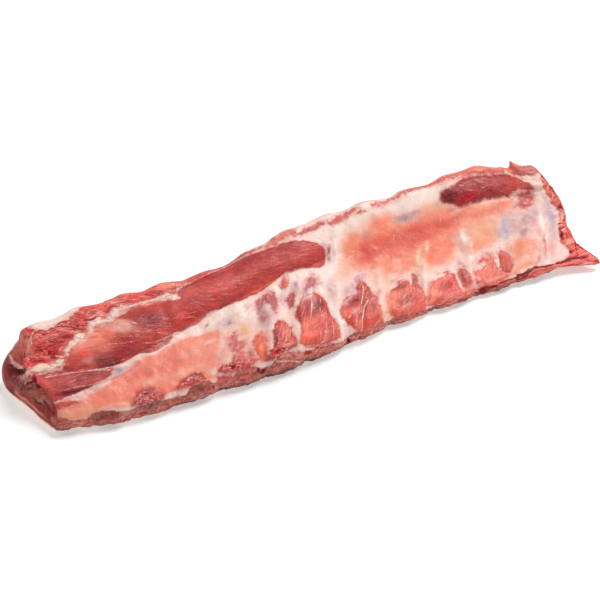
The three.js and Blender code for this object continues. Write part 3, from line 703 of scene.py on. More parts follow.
# Lighter, darker and tinted parts of the muscles, as ovals; a few are painted light and shade, marked where
# they stand
SHADES = (
    ((240, 132, 112), 0.95, 56, 66, 14, 11, 0.3), (SALMON, 0.9, 64, 74, 14, 5, 0.1),
    ((222, 112, 100), 0.8, 64, 58, 12, 5, -0.3), (PINK, 0.6, 50, 50, 6, 3),
    ((232, 150, 138), 0.95, 82, 74, 12, 6, -0.8), (BROWN_MEAT, 0.6, 62, 48, 10, 4),
    # The dark oval at 66, 41.5 is painted shade in the groove under the tenderloin's lower edge
    (DEEP_MEAT, 0.75, 66, 41.5, 9, 3, 0.3), (DARK_MEAT, 0.7, 76, 49, 16, 5, -0.3),
    (DEEP_MEAT, 0.3, 98, 45, 8, 3), (ORANGE, 0.6, 126, 84, 14, 2.6, -0.3),
    (MAUVE, 0.6, 150, 87, 9, 2.4, 0.4), (DARK_MEAT, 0.6, 174, 90, 16, 3.4, 0.4),
    (DARK_MEAT, 0.5, 156, 70, 5, 8), (ROSE_MEAT, 0.5, 216, 78, 34, 4, -0.3),
    ((232, 96, 76), 0.95, 222, 64.5, 17, 2.4), (PURPLE_MEAT, 0.35, 240, 84, 26, 4),
    (PURPLE_MEAT, 0.25, 212, 90, 22, 4), (ROSE_MEAT, 0.5, 262, 74, 14, 4, -0.2),
    # The dark oval at 18, 19.5 is painted shade in the crease under the flank
    (DEEP_MEAT, 0.7, 18, 19.5, 16, 2.2, 0.2), ((216, 92, 92), 0.8, 5, 36, 5, 14, 0.2),
    (RED_MEAT, 0.6, 4, 22, 5, 8), (ROSE_MEAT, 0.5, 26, 36, 14, 3, 0.1),
    (ROSE_MEAT, 0.4, 34, 28, 16, 2.4, 0.2), (BROWN_DARK, 0.5, 42, 35, 12, 2.4),
    (CORAL, 0.7, 46, 26.5, 8, 1.6), ((170, 54, 60), 0.6, 32, 47.5, 8, 2.4),
    (DEEP_MEAT, 0.85, 14, 73.5, 6, 3.6), (DEEP_MEAT, 0.8, 24, 63, 4, 2, 0.5),
    (DEEP_MEAT, 0.75, 31, 67, 4, 2, 0.4), (DARK_MEAT, 0.6, 24, 76, 14, 4),
    ((236, 142, 132), 0.7, 5, 84, 5, 3), (DARK_MEAT, 0.6, 47, 84, 9, 3, -0.4),
    (DEEP_MEAT, 0.5, 54, 79, 7, 2, -0.4), ((226, 98, 94), 0.7, 38, 86, 8, 3, -0.4),
    ((232, 104, 92), 0.9, 92, 98, 26, 5), (SALMON, 0.9, 138, 97, 14, 4), (PEACH, 0.6, 150, 95, 8, 2),
    ((166, 0, 24), 0.85, 438, 77, 9, 4, 0.3), (RED_MEAT, 0.5, 446, 80, 6, 3, 0.3),
    ((128, 30, 42), 0.85, 422, 82, 8, 6), ((206, 92, 80), 0.8, 487, 80, 10, 5),
    ((170, 84, 84), 0.7, 462, 84, 26, 5), ((190, 60, 52), 0.85, 490, 83, 8, 5, -0.3),
    (CORAL, 0.85, 489, 77.5, 10, 1.6, -0.3), ((204, 60, 54), 0.7, 480, 73.5, 4, 3),
    (PINK, 0.6, 491, 65, 5, 3, 0.4), (DEEP_MEAT, 0.5, 208, 9, 3, 8, 0.5),
    (DEEP_MEAT, 0.45, 254, 21, 7, 2.4, 0.5), ((240, 104, 84), 0.95, 237, 0, 9, 5, 0.5),
    (DEEP_MEAT, 0.65, 298, 20, 7, 2.6, 0.3), ((228, 104, 88), 0.8, 306, -4, 9, 6, 0.3),
    (LILAC, 0.9, 296, 27, 6, 3, 0.3), ((224, 88, 76), 0.6, 300, -6, 12, 4),
    (RED_MEAT, 0.4, 384, 8, 6, 5, 0.3), ((206, 80, 76), 0.5, 438, 14, 3, 6, 0.4),
    (DEEP_MEAT, 0.7, 511, 24, 2.5, 4, 0.4), ((190, 94, 90), 0.9, 517, 66, 6, 9),
    ((226, 156, 134), 0.95, 519, 44, 6, 6), (DEEP_MEAT, 0.5, 514, 52, 3, 3),
    (DEEP_MEAT, 0.5, 133, 4, 5, 1.6), ((236, 120, 104), 0.7, 182, -2, 8, 2),
    ((226, 104, 88), 0.7, 95, 0, 3, 5), ((224, 172, 176), 0.85, 257, 33, 5, 7, 0.4),
    ((176, 44, 46), 0.9, 261, 28, 5, 8, 0.3), ((232, 112, 96), 0.8, 241, 12, 6, 8, 0.4),
    ((246, 112, 84), 0.95, 234, 1, 5, 3.4, 0.6), ((238, 160, 150), 0.7, 256, -2, 3, 3, 0.5),
    ((172, 50, 50), 0.85, 209, 14, 3, 9, 0.5), ((226, 108, 94), 0.85, 222, 14, 4, 10, 0.3),
    ((240, 172, 162), 0.7, 219, 1, 6, 2), ((232, 176, 174), 0.7, 163, 10, 4, 9, 0.5),
    ((240, 190, 184), 0.6, 182, 12, 2, 10, 0.1), ((214, 160, 170), 0.9, 309, 38, 4, 5, 0.3),
    ((226, 172, 174), 0.85, 293, 11, 6, 2.6, 0.5), ((234, 118, 102), 0.8, 284, 12, 6, 6, 0.5),
    ((236, 130, 116), 0.7, 288, -4, 7, 5, 0.6), ((196, 56, 52), 0.7, 298, 0, 3, 7, 0.6),
    ((232, 150, 120), 0.8, 315, 6, 2, 14), ((246, 144, 118), 0.95, 331, 9, 5, 11, 0.5),
    ((206, 56, 58), 0.9, 344, 5, 8, 6, 0.5), ((180, 56, 52), 0.7, 343, 20, 8, 3, 0.3),
    ((236, 168, 158), 0.7, 342, 1, 4, 2, 0.3), ((190, 76, 74), 0.8, 359, 20, 3, 7, 0.2),
    ((246, 142, 124), 0.95, 370, 4, 7, 9, 0.6), ((214, 34, 40), 0.95, 391, 7, 3.4, 5, 0.2),
    ((214, 84, 78), 0.8, 396, 12, 3, 8), ((188, 84, 76), 0.7, 406, 12, 3, 6, 0.1),
    ((160, 62, 64), 0.85, 112, 68, 13, 8, -0.2), ((172, 70, 70), 0.7, 104, 76, 10, 5, -0.1),
    ((222, 156, 148), 0.9, 88, 68, 9, 6, -0.5), ((246, 182, 166), 0.8, 87, 76, 5, 3, -0.8),
    ((240, 112, 94), 0.8, 74, 67, 4, 4), ((240, 78, 64), 0.9, 49, 58, 4, 4),
    # The dark oval at 66, 41.5 is painted shade in the groove under the tenderloin's lower edge
    ((106, 16, 28), 0.95, 66, 41.5, 12, 2.8, 0.1), ((200, 52, 50), 0.7, 142, 62, 10, 7),
    ((162, 52, 60), 0.7, 82, 50, 14, 5, -0.2), ((196, 130, 140), 0.8, 120, 46, 10, 2.4, 0.2),
    ((214, 100, 94), 0.7, 172, 80, 26, 6, -0.2), ((252, 158, 142), 0.75, 58, 67, 13, 8, 0.2),
    ((244, 186, 178), 0.7, 87, 70, 9, 5, -0.5), ((216, 88, 88), 0.8, 3, 34, 4, 16, 0.1),
    # The dark oval at 26, 21.5 is painted shade in the crease under the flank
    ((128, 22, 38), 0.8, 26, 21.5, 20, 1.6, 0.12), ((232, 118, 112), 0.6, 5, 68, 3.4, 7),
    ((224, 186, 172), 0.85, 62, 83, 1.8, 5), ((238, 142, 128), 0.8, 71, 87, 7, 3),
    ((232, 60, 50), 0.85, 112, 94, 8, 3), ((240, 180, 172), 0.5, 24, 83, 12, 1.2, -0.1),
    ((230, 74, 66), 0.85, 12, 63, 12, 5, 0.3), ((158, 6, 30), 0.95, 15, 74, 7, 3.8),
    ((176, 50, 58), 0.8, 32, 76, 12, 4, -0.2), ((164, 16, 30), 0.9, 27, 62.6, 4, 1.8, 0.4),
    ((236, 112, 102), 0.8, 18, 68, 9, 1.8, 0.3), ((188, 66, 60), 0.8, 40, 90, 16, 3),
    ((138, 28, 36), 0.7, 112, 69, 15, 8, -0.1), ((172, 52, 50), 0.9, 250, 31, 8, 6, 0.2),
    ((188, 48, 48), 0.8, 214, 10, 4, 7, 0.3), ((202, 44, 34), 0.85, 115, 95.5, 8, 2.6),
    ((166, 56, 50), 0.85, 247, 28, 11, 8, 0.2), ((156, 44, 44), 0.8, 240, 24, 3, 8, 0.4),
    ((160, 40, 40), 0.7, 265, 24, 2.4, 9), ((198, 60, 58), 0.8, 258, 6, 6, 6, 0.3),
    ((226, 180, 190), 0.8, 252, 39, 7, 3.4, 0.3), ((206, 96, 84), 0.7, 312, 10, 4, 9),
    ((160, 42, 42), 0.7, 290, 18, 8, 3, 0.2), ((218, 170, 182), 0.85, 286, 21, 5, 3.4, 0.3),
    ((206, 28, 36), 0.9, 512, 27, 3.4, 7), ((240, 186, 164), 0.95, 517, 41, 5, 4.5),
    ((236, 112, 100), 0.8, 512, 8, 7, 9, 0.4), ((248, 170, 156), 0.7, 514, 16, 6, 2, 0.5),
    ((222, 110, 96), 0.8, 517, 76, 5, 10), ((164, 44, 42), 0.85, 486, 82, 8, 4.6, -0.2),
    ((248, 172, 164), 0.9, 516, 31, 4, 5, 0.3), ((232, 108, 96), 0.7, 250, 14, 8, 5, 0.2),
    # The pale oval at 1, 78 is a painted highlight on the rolled flap by the hip cut
    ((208, 112, 98), 0.95, 0, 92, 3.4, 18), ((242, 168, 152), 0.8, 1, 78, 1.8, 5),
)
# Tints of the sawn browned edge, as ovals
FRONT_SHADES = (
    ((186, 112, 104), 0.7, 12, -12, 14, 4), ((150, 78, 74), 0.7, 44, -8, 14, 6), (LILAC, 0.5, 66, -9, 8, 3),
    ((136, 62, 56), 0.8, 86, -8, 12, 4), ((190, 112, 104), 0.7, 104, -13, 12, 4),
    ((158, 72, 66), 0.7, 130, -8, 13, 6), ((226, 142, 130), 0.8, 152, -10, 8, 5),
    ((182, 84, 78), 0.7, 176, -9, 13, 6), ((176, 94, 88), 0.8, 212, -9, 13, 6),
    ((224, 122, 110), 0.85, 242, -10, 14, 5), ((206, 126, 116), 0.6, 256, -14, 10, 5),
    ((232, 176, 160), 0.7, 273, -14, 5, 5), ((182, 90, 84), 0.8, 298, -15, 15, 5),
    ((214, 110, 98), 0.8, 300, -9, 12, 3), ((230, 168, 152), 0.7, 318, -14, 5, 5),
    ((184, 98, 90), 0.8, 344, -15, 16, 5), ((226, 134, 122), 0.8, 369, -13, 6, 6),
    ((196, 100, 92), 0.7, 392, -13, 16, 5), ((140, 30, 36), 0.9, 420, -10, 7, 8, 0.2),
    ((176, 74, 70), 0.7, 446, -11, 14, 5), ((222, 106, 92), 0.95, 478, -10, 16, 8),
    ((226, 100, 86), 0.95, 508, -10, 18, 14), ((196, 84, 80), 0.6, 464, -10, 6, 4),
)
# Clots, vessels, and hollows darkened with painted shade, as ovals without a colour
HOLES = (
    (1, 164, 1, 3, 2.8), (0.6, 159, 3, 2, 1.4, 0.3), (0.85, 209, -1.5, 6, 1.8), (0.7, 201, 1, 3, 1, 0.5),
    (0.7, 143.5, -11, 1.6, 2.6, -0.3), (0.9, 186.5, -11, 1.6, 2.4), (1, 191, -13.5, 4, 1.6, -0.2),
    (0.62, 236, -11.5, 4.4, 2.6, 0.3), (0.6, 244, -9, 3, 1, 0.4), (0.9, 279, -17, 2, 5, -0.3),
    (0.8, 321, -19, 2, 4), (0.62, 423, -7, 7, 4), (0.66, 420, -14, 4, 7, 0.2), (0.8, 430, -9, 5, 2.4),
    (1, 485, -3.5, 2, 1.6, -0.4), (1, 519, 53, 4.2, 2.4), (0.9, 1, 44, 2, 7, 0.6), (0.7, 0, 57, 2, 3),
    (0.7, 77, 1.5, 2, 1.2, 0.5), (0.7, 84, 4.4, 2.6, 1, 0.5), (0.6, 90, 1, 1.6, 1.4),
    (0.7, 86, -1, 2.4, 0.9, 0.4), (0.6, 81, 5.5, 1.4, 0.8), (0.6, 73, -1, 2, 0.8, 0.5),
    (0.7, 120, 2.6, 3, 0.9, 0.3), (0.7, 131, 5, 2.6, 1, 0.3), (0.6, 126, 3, 2.4, 0.8, 0.2),
    (0.5, 155, 3.5, 2, 0.9), (0.5, 173, -1, 3, 0.8), (0.7, 250, -11, 2.4, 1), (0.4, 213, 5, 1.6, 1.2, 0.4),
    (0.3, 393, 7, 1, 1.6), (0.5, 24, 63, 2.4, 1, 0.4), (0.45, 13, 73, 2.6, 1.2, 0.4),
    (0.45, 33, 67, 1.8, 0.8, 0.5), (0.35, 300, 21, 3, 1, 0.4), (0.4, 209, 10, 0.9, 3.4, 0.5),
    (0.3, 513, 24, 1.4, 3, 0.3), (0.3, 517, 21, 3, 0.8, 0.4), (0.5, 350, -13, 3, 1.2, 0.2),
    (0.6, 78, -14, 5, 1.6), (0.5, 100, -12, 3, 1.6, 0.3), (0.5, 120, -14, 4, 1.6), (0.6, 62, -17, 4, 2),
    (0.5, 170, -14, 4, 1.4), (0.5, 214, -13, 4, 1.2, 0.2), (0.5, 290, -17, 2, 4), (0.5, 382, -14, 3, 2),
    (0.6, 402, -15, 4, 2), (0.5, 456, -12, 3, 3),
)
# Parts that lie in deep shade, as ovals without a colour
DEEP = (
    (0.5, 261, 27, 4, 8, 0.3), (0.35, 251, 20, 5, 3, 0.5), (0.45, 209, 12, 2.4, 8, 0.5),
    (0.45, 296, 20, 6, 2.2, 0.3), (0.4, 303, 10, 2.4, 9, 0.4), (0.3, 312, 18, 2.4, 12, 0.1),
    (0.35, 344, 6, 7, 4, 0.5), (0.4, 344, 20, 8, 1.8, 0.3), (0.4, 359, 21, 2, 6, 0.3),
    (0.3, 384, 8, 4, 4, 0.4), (0.35, 406, 12, 2, 6, 0.1), (0.4, 66, 41, 13, 2.4, 0.1),
    (0.35, 25, 21, 18, 1.8, 0.15), (0.4, 422, 81, 6, 4, 0.2), (0.35, 14, 73, 5, 3, 0.2),
    (0.35, 26, 62, 4, 2.4, 0.4), (0.3, 48, 84, 8, 2.4, -0.4), (0.3, 516, 52, 3, 5), (0.12, 511, 24, 2.4, 7),
    (0.4, 88, -9, 12, 4), (0.35, 44, -9, 12, 4), (0.3, 130, -9, 10, 4), (0.3, 186, -12, 8, 3),
    (0.4, 420, -12, 9, 6), (0.4, 445, -14, 22, 3), (0.3, 300, -17, 20, 2), (0.3, 380, -16, 24, 2.4),
    (0.4, 62, 48, 9, 3),
)
# Where the membrane runs over the muscle's rim and veils it, as ovals without a colour
VEILS = (
    (0.5, 176, 12, 8, 4, 0.4), (0.5, 181, 26, 4, 3, 0.4), (0.4, 165, 10, 4, 6, 0.4),
    (0.6, 214, 44, 5, 6, 0.3), (0.55, 258, 43, 9, 3, 0.4), (0.3, 246, 38, 4, 3, 0.5),
    (0.5, 293, 27, 8, 2.6, 0.5), (0.4, 310, 36, 4, 4, 0.5), (0.3, 291, 9, 6, 2, 0.5),
    (0.3, 330, 4, 4, 9, 0.2), (0.5, 340, 22, 10, 2, 0.3), (0.5, 356, 18, 2, 6, 0.2), (0.5, 386, 19, 12, 2),
    (0.3, 370, 4, 5, 5, 0.5), (0.4, 400, 4, 1.6, 10), (0.4, 406, 22, 4, 3), (0.5, 430, 17, 9, 3, 0.5),
    (0.3, 424, 6, 5, 4, 0.4), (0.4, 443, 14, 2, 9, 0.3), (0.5, 488, 66, 9, 4, 0.3), (0.4, 64, 33, 5, 2),
    (0.3, 288, 70, 3, 8), (0.3, 236, 62, 4, 2), (0.5, 20, 12, 6, 3), (0.3, 86, 71, 10, 5, -0.8),
    (0.3, 122, 47, 7, 2, 0.2), (0.4, 66, 62, 9, 5, 0.2),
)
# Threads of sinew and torn fibre: muscle, draws, turn and its spread, length, half thickness, how pale
THREADS = (
    ("torn", 40, -10, 8, 20, 0.36, 0.78), ("torn", 60, -12, 20, 13, 1, 0.4),
    ("between", 40, -24, 20, 8, 0.8, 0.8), ("fold", 30, -30, 50, 8, 1.1, 0.42),
    ("tenderloin", 50, -12, 6, 12, 0.18, 0.5), ("flank", 18, 4, 6, 20, 0.22, 0.6),
    ("neck", 20, -8, 12, 10, 0.18, 0.3), ("neck_spot", 14, -40, 30, 6, 0.26, 0.8),
    ("lens_3", 12, 58, 12, 10, 0.26, 0.9), ("lens_5", 26, 56, 18, 10, 0.26, 0.85),
    ("lens_6", 24, 54, 18, 9, 0.22, 0.75), ("lens_7", 22, 52, 30, 8, 0.26, 0.8),
    ("lens_8", 20, 50, 26, 8, 0.28, 0.8), ("lens_9", 16, 50, 14, 12, 0.28, 0.9),
    ("lens_1", 16, 60, 24, 8, 0.28, 0.9), ("rib_clump_a", 46, 30, 80, 2.6, 0.42, 0.85),
    ("rib_clump_b", 40, 20, 70, 2.6, 0.42, 0.85), ("rib_clump_c", 30, 20, 60, 3.4, 0.4, 0.85),
    ("rib_clump_d", 30, 20, 60, 3.4, 0.4, 0.85), ("shoulder_edge", 110, 30, 50, 8, 0.42, 0.8),
    ("shoulder_edge", 110, 30, 40, 8, 1, 0.55), ("flap_root", 24, 8, 24, 9, 0.34, 0.7),
    ("rim_f", 30, 8, 30, 8, 0.34, 0.9),
)
# Creases darkened with painted shade: half width, places along
CREASES = (
    (1.5, (
        (458, -4), (464, -5), (470, -3.4), (476, -0.4), (481, -2.2), (486, -3.6), (492, -1.6), (499, 0),
        (506, 1.6), (513, 3.4),
    )),
    (0.9, ((436, -6.6), (446, -6), (456, -7), (466, -8.4))),
    (0.7, ((466, -8), (468, -3), (471, 0))),
    (0.8, ((508, 8), (514, 10), (519, 15))),
    (0.8, ((456, -9.6), (459, -12), (464, -11.4), (466, -8.6))),
    (0.8, ((510, 20), (513, 25), (512, 31))),
)
# Top of the front face's brown meat: how high it reaches at places along
FRONT_EDGE = (
    (-10, -6), (0, -5), (5, -6), (10, -9), (26, -9.5), (30, -5), (36, -3), (46, -3.5), (58, -5.5),
    (66, -7.5), (70, -7), (76, -4), (92, -4.5), (98, -7), (106, -8), (118, -8.5), (122, -4), (132, -2),
    (140, -2), (143, -7), (148, -10), (155, -11), (160, -8), (166, -5), (176, -4.5), (184, -7), (190, -11),
    (197, -10), (203, -7), (210, -4.5), (224, -6), (231, -9), (238, -11), (250, -9.5), (262, -11),
    (274, -13), (282, -9), (290, -8), (304, -9), (316, -11), (322, -12), (328, -9), (344, -9), (358, -10),
    (366, -12), (374, -9), (384, -10), (396, -10), (410, -10), (418, -6), (430, -6), (446, -6), (458, -5),
    (466, -7), (474, -5), (486, -6), (500, -6), (530, -6),
)
# What the cut ends show, in the section's y and z: colour and places round each muscle
CUT_MUSCLES = {
    "hip": (
        ((166, 54, 46), (
            (-52, 8), (-53, 15), (-46, 23), (-36, 28), (-26, 32), (-16, 36), (-4, 42), (6, 46), (14, 52),
            (24, 56), (31, 52), (32, 40), (33, 28), (30, 14), (20, 5), (0, 5), (-14, 9), (-30, 7), (-44, 6),
        )),
        ((140, 26, 32), ((8, 27), (10, 16), (16, 11), (26, 12), (30, 20), (27, 26), (18, 28))),
        ((206, 64, 56), (
            (-8, 44), (0, 35), (8, 30), (20, 30), (30, 31), (32, 44), (28, 54), (20, 54), (10, 49), (0, 46),
        )),
    ),
    "shoulder": (
        ((206, 92, 86), (
            (-24, 6), (-30, 14), (-20, 22), (0, 30), (20, 37), (34, 35), (40, 22), (31, 10), (10, 4),
            (-8, 4),
        )),
        ((188, 66, 62), ((-12, 31), (10, 41), (24, 49), (34, 58), (42, 55), (41, 42), (24, 41), (8, 36))),
        ((190, 76, 70), ((-44, 4), (-46, 14), (-34, 19), (-30, 10))),
    ),
}
CUT_MOTTLE = {"hip": (150, 62, 54), "shoulder": ROSE_MEAT}
# Tints of the cut ends, as ovals in y and z
CUT_SHADES = {
    "hip": (
        ((224, 84, 74), 0.95, 22, 46, 12, 10), ((216, 74, 66), 0.9, 8, 46, 12, 8, -0.6),
        ((232, 130, 112), 0.8, 24, 51, 6, 4), ((150, 20, 24), 0.9, 6, 38, 8, 3, -0.9),
        ((158, 26, 28), 0.8, 13, 38, 5, 4), ((214, 110, 96), 0.8, 26, 38, 4, 8),
        ((126, 4, 18), 1, 16, 22, 9, 6.5, -0.2), ((130, 14, 24), 0.8, 22, 16, 5, 5),
        ((216, 66, 60), 0.9, 26, 12, 3, 7), ((158, 82, 72), 0.9, 0, 21, 12, 7, -0.3),
        ((164, 92, 78), 0.9, -24, 23, 12, 6, 0.4), ((84, 8, 14), 0.95, -14, 28, 2.6, 3.4, -0.5),
        ((92, 18, 20), 0.9, -8, 22.6, 3.4, 2.2, 0.4), ((84, 8, 14), 0.95, -26, 19.6, 4.4, 1.6, 0.5),
        ((90, 16, 18), 0.85, -33, 18, 2.4, 1.8), ((196, 122, 106), 0.8, -31, 24, 5, 2, 0.8),
        ((188, 118, 104), 0.7, -17, 23, 3, 3), ((190, 112, 98), 0.8, 4, 15.4, 9, 1.8, -0.2),
        ((150, 26, 14), 0.95, -35, 14, 6, 3, 0.4), ((150, 44, 24), 0.9, -26, 14, 5, 2, 0.2),
        ((196, 104, 100), 0.9, -47, 13, 5, 6, 0.3), ((132, 30, 32), 0.9, -44, 17, 2.4, 2.4, 0.4),
        ((216, 140, 130), 0.8, -45, 13.6, 1.6, 1.2), ((136, 34, 36), 0.8, -41, 13, 2, 3, 0.4),
        ((186, 84, 76), 0.9, 17, 10, 8, 3), ((108, 6, 18), 0.9, 4, 9.8, 3.6, 1.6, -0.6),
        ((120, 16, 16), 0.85, 12, 9, 4, 1.6), ((206, 100, 76), 0.9, -11, 10.2, 5, 1.6),
        ((130, 46, 34), 0.8, 4, 21, 3.4, 1.6), ((96, 24, 22), 0.7, -3, 24, 2, 1.6),
    ),
    "shoulder": (
        ((186, 92, 88), 0.9, 30, 56, 9, 6), ((226, 156, 134), 0.9, 6, 38, 8, 5, 0.4),
        ((96, 10, 20), 0.9, 12, 47, 4, 2.4), ((208, 62, 56), 0.8, -14, 26, 7, 6, 0.3),
        ((92, 16, 20), 0.8, -4, 30, 4, 2, 0.4), ((232, 118, 106), 0.7, -34, 14, 8, 5),
        ((240, 170, 156), 0.6, -26, 19, 8, 1.6, 0.3), ((214, 120, 108), 0.7, 14, 22, 12, 7),
        ((156, 48, 50), 0.6, 26, 34, 8, 3),
    ),
}
# The deep seam between the muscles of the hip cut, sunk and painted near-black as shade
DEEP_SEAM = ((-10, 46), (-5, 39.5), (0, 34), (5, 29), (9, 27))
# Lines over the cut ends: colour, strength, half width, places in y and z
CUT_LINES = {
    "hip": (
        ((226, 158, 146), 0.95, 2.6, ((-15, 44), (-11, 39), (-5, 33), (0, 28))),
        # The near-black line along the deep seam is painted shade in it
        ((34, 0, 2), 1, 2, DEEP_SEAM), ((56, 0, 6), 0.95, 1.5, ((7, 27.4), (13, 27.4), (20, 26.8))),
        ((70, 2, 8), 0.95, 1.7, ((-21.6, 44), (-21, 39), (-22, 34))),
        ((140, 84, 78), 0.8, 1.6, ((-18.6, 43), (-17.6, 38), (-17, 33))),
        ((248, 204, 194), 1, 1.4, ((6, 32), (10, 30.6), (15, 31.4), (21, 29.6), (28, 30))),
        ((216, 142, 128), 0.9, 1.4, ((-34, 10.4), (-26, 12.6), (-18, 14), (-8, 12.6), (1, 13))),
        ((206, 140, 126), 0.9, 0.8, ((-19, 29), (-16, 33), (-12, 34.6), (-8, 31), (-7, 26))),
        ((226, 176, 166), 0.6, 0.8, ((-31, 20.6), (-28, 21), (-25, 20.4))),
        ((76, 4, 10), 0.95, 0.8, ((-17, 31), (-13, 33), (-9.6, 30), (-10, 25.6), (-14, 24), (-17, 27))),
        ((196, 124, 112), 0.8, 0.9, ((-14, 29), (-12.4, 27))),
        ((186, 118, 102), 0.6, 0.7, ((-4, 25), (-1, 27.6), (4, 26), (6, 22))),
        ((84, 16, 16), 0.8, 0.7, ((-6, 19), (-2, 20.4), (3, 18.4), (8, 18))),
        ((88, 14, 16), 0.8, 0.8, ((-40, 19), (-36, 21), (-31, 22))),
        ((196, 120, 106), 0.6, 0.7, ((-38, 22), (-34, 25), (-29, 27.4))),
    ),
    "shoulder": (),
}


def path_distance(s, u, points):
    """Distance to the line through the points."""
    best = np.full(np.shape(s), 1e9)
    for (s0, u0), (s1, u1) in zip(points[:-1], points[1:]):
        ds, du = s1 - s0, u1 - u0
        t = clamp(((s - s0) * ds + (u - u0) * du) / (ds * ds + du * du))
        best = np.minimum(best, np.hypot(s - s0 - t * ds, u - u0 - t * du))
    return best


def inside(s, u, points):
    """Signed distance to an outline, positive inside it."""
    closed = tuple(points) + (points[0],)
    odd = np.zeros(np.shape(s), bool)
    for (s0, u0), (s1, u1) in zip(closed[:-1], closed[1:]):
        if u0 == u1:
            continue
        odd ^= ((u0 > u) != (u1 > u)) & (s < (s1 - s0) * (u - u0) / (u1 - u0) + s0)
    return np.where(odd, 1, -1) * path_distance(s, u, closed)


def oval(s, u, middle_s, middle_u, half_s, half_u, lean=0):
    """1 in the middle of a soft oval that leans along the piece, 0 far from it."""
    a = (s - middle_s - lean * (u - middle_u)) / half_s
    b = (u - middle_u) / half_u
    return np.exp(-((a * a + b * b) ** 1.3))


def linear(colour):
    """The scene's own value of a colour given from 0 to 255, with full opacity."""
    parts = [c / 255 for c in colour]
    return [c / 12.92 if c <= 0.04045 else ((c + 0.055) / 1.055) ** 2.4 for c in parts] + [1]


def coat(s, colour):
    return np.broadcast_to(linear(colour)[:3], np.shape(s) + (3,))


def paint(colours, amount, colour):
    amount = np.asarray(amount)[..., None]
    return colours + (np.array(linear(colour)[:3]) - colours) * amount


def warped(s, u, amount=1):
    """The place moved by a few millimetres, so that no outline stays smooth."""
    ds = 1.3 * lumps(s / 11, u / 9, 31) + 0.7 * lumps(s / 5, u / 4, 32) + 0.3 * lumps(s / 2.4, u / 2.2, 35)
    du = 0.9 * lumps(s / 11, u / 9, 33) + 0.5 * lumps(s / 5, u / 4, 34) + 0.3 * lumps(s / 2.4, u / 2.2, 36)
    return s + amount * ds, u + amount * du


def fields(s, u):
    """What the surface is made of at each place, and its painted shade: signed millimetres, strengths from
    0 to 1 and colours.
    """
    v = front_count(u)
    ws, wv = warped(s, v)
    ls, lv = warped(s, v, 0.4)
    stand = grain = turn = np.zeros(np.shape(s))
    bare = fat = stand + FAR_OUTSIDE
    meat, skin = coat(s, MEAT), coat(s, CREAM)

    # Bare muscles and the browned front edge below them
    for name, colour, height, softness, turned, points in MUSCLES:
        d = inside(ws, wv, points)
        bare = np.maximum(bare, (d + 0.4 * (softness - 1)) / softness)
        meat = paint(meat, smooth(-1.5, 0.8, d), colour)
        stand = np.maximum(stand, height * smooth(-1.5, 6, d))
        turn = np.where(d > -3, turned, turn)
        if turned > STEEP_TURN:
            grain = np.maximum(grain, smooth(-2.5, -1.5, d))
        if name == "torn":
            torn = d
    for amount, *spot in VEILS:
        bare = bare - 3 * amount * oval(ws, wv, *spot)
    front = np.interp(ws, *zip(*FRONT_EDGE)) - wv
    brown = smooth(-1.5, 1.5, front)
    meat = paint(meat, brown, BROWN_MEAT)
    for colour, amount, *spot in SHADES:
        meat = paint(meat, amount * oval(ws, wv, *spot) * (1 - brown), colour)
    for colour, amount, *spot in FRONT_SHADES:
        meat = paint(meat, amount * oval(ws, wv, *spot) * brown, colour)

    # The membrane's areas and marks, and the bands that cross muscle and membrane
    for colour, soft, amount, points in AREAS:
        d = inside(ws, wv, points) + 1.6 * lumps(s / 7, v / 4, 37)
        skin = paint(skin, amount * smooth(-soft, soft, d), colour)
    patchy = 1 + 0.5 * lumps(s / 3.2, v / 3.2, 38)
    for colour, amount, *spot in MARKS:
        skin = paint(skin, clamp(amount * patchy * oval(ws, wv, *spot)), colour)
    broken = lumps(s / 5, v / 3.2, 49) + 0.6 * lumps(s / 2.4, v / 1.6, 50)
    broken = mix(1, 0.3 + 0.7 * smooth(-0.45, 0.25, broken), smooth(82, 62, s))
    for colour, soft, amount, points in BANDS:
        d = inside(ws, wv, points) + 1.4 * lumps(s / 5, v / 2.5, 44) + 0.7 * lumps(s / 2.2, v / 1.4, 45)
        cover = amount * broken * smooth(-soft, soft, d)
        meat = paint(meat, cover * (1 - brown), colour)
        skin = paint(skin, 0.6 * cover, colour)

    # Firm fat and its thin lines; then holes and creases, darkened partly with painted shade; then painted
    # deep shade
    for soft, points in FAT_PATCHES:
        d = inside(ws, wv, points) + (s < 70) * (v < 90) * 1.2 * lumps(s / 4, v / 2.6, 51)
        fat = np.maximum(fat, d / soft)
    fade = 0.14 * lumps(s / 7, v / 7, 39)
    for width, points in FAT_LINES:
        fat = np.maximum(fat, 0.5 * width - 0.22 + fade - path_distance(ls, lv, points))
    hole = 0
    for amount, *spot in HOLES:
        hole = np.maximum(hole, amount * oval(ls, lv, *spot))
    bent_s, bent_v = ls + 0.8 * lumps(s / 3, v / 3, 52), lv + 0.8 * lumps(s / 3, v / 3, 53)
    open_here = clamp(0.72 + 0.5 * lumps(s / 4, v / 4, 56))
    for half, points in CREASES:
        away = path_distance(bent_s, bent_v, points)
        hole = np.maximum(hole, open_here * smooth(1.6 * half, 0.4 * half, away))
    # Painted shade on the lowest rim of the front face and on the underside's rounding by the table
    under = bell(np.mod(u, ROUND), ROUND - FRONT - 4, 4)
    shade = np.maximum(smooth(-15, -20.5, v) * brown, under) * clamp(0.8 + 0.6 * lumps(s / 12, 1, 48))
    for amount, *spot in DEEP:
        shade = np.maximum(shade, amount * oval(ws, wv, *spot))

    calm = oval(s, v, 62, 66, 26, 13, 0.2) + 0.6 * oval(s, v, 24, 34, 34, 12, 0.1)
    return {
        "bare": np.maximum(bare, front), "front": front, "fat": fat, "hole": hole, "shade": shade,
        "meat": meat, "skin": skin, "grain": grain, "stand": stand, "turn": np.where(front > 0, 0, turn),
        "rough": clamp(smooth(-5, 2, torn) + 0.8 * smooth(498, 512, s) + 0.8 * brown),
        "busy": oval(s, v, 366, 60, 72, 15), "calm": clamp(calm + 0.6 * oval(s, v, 120, 72, 30, 12)),
    }


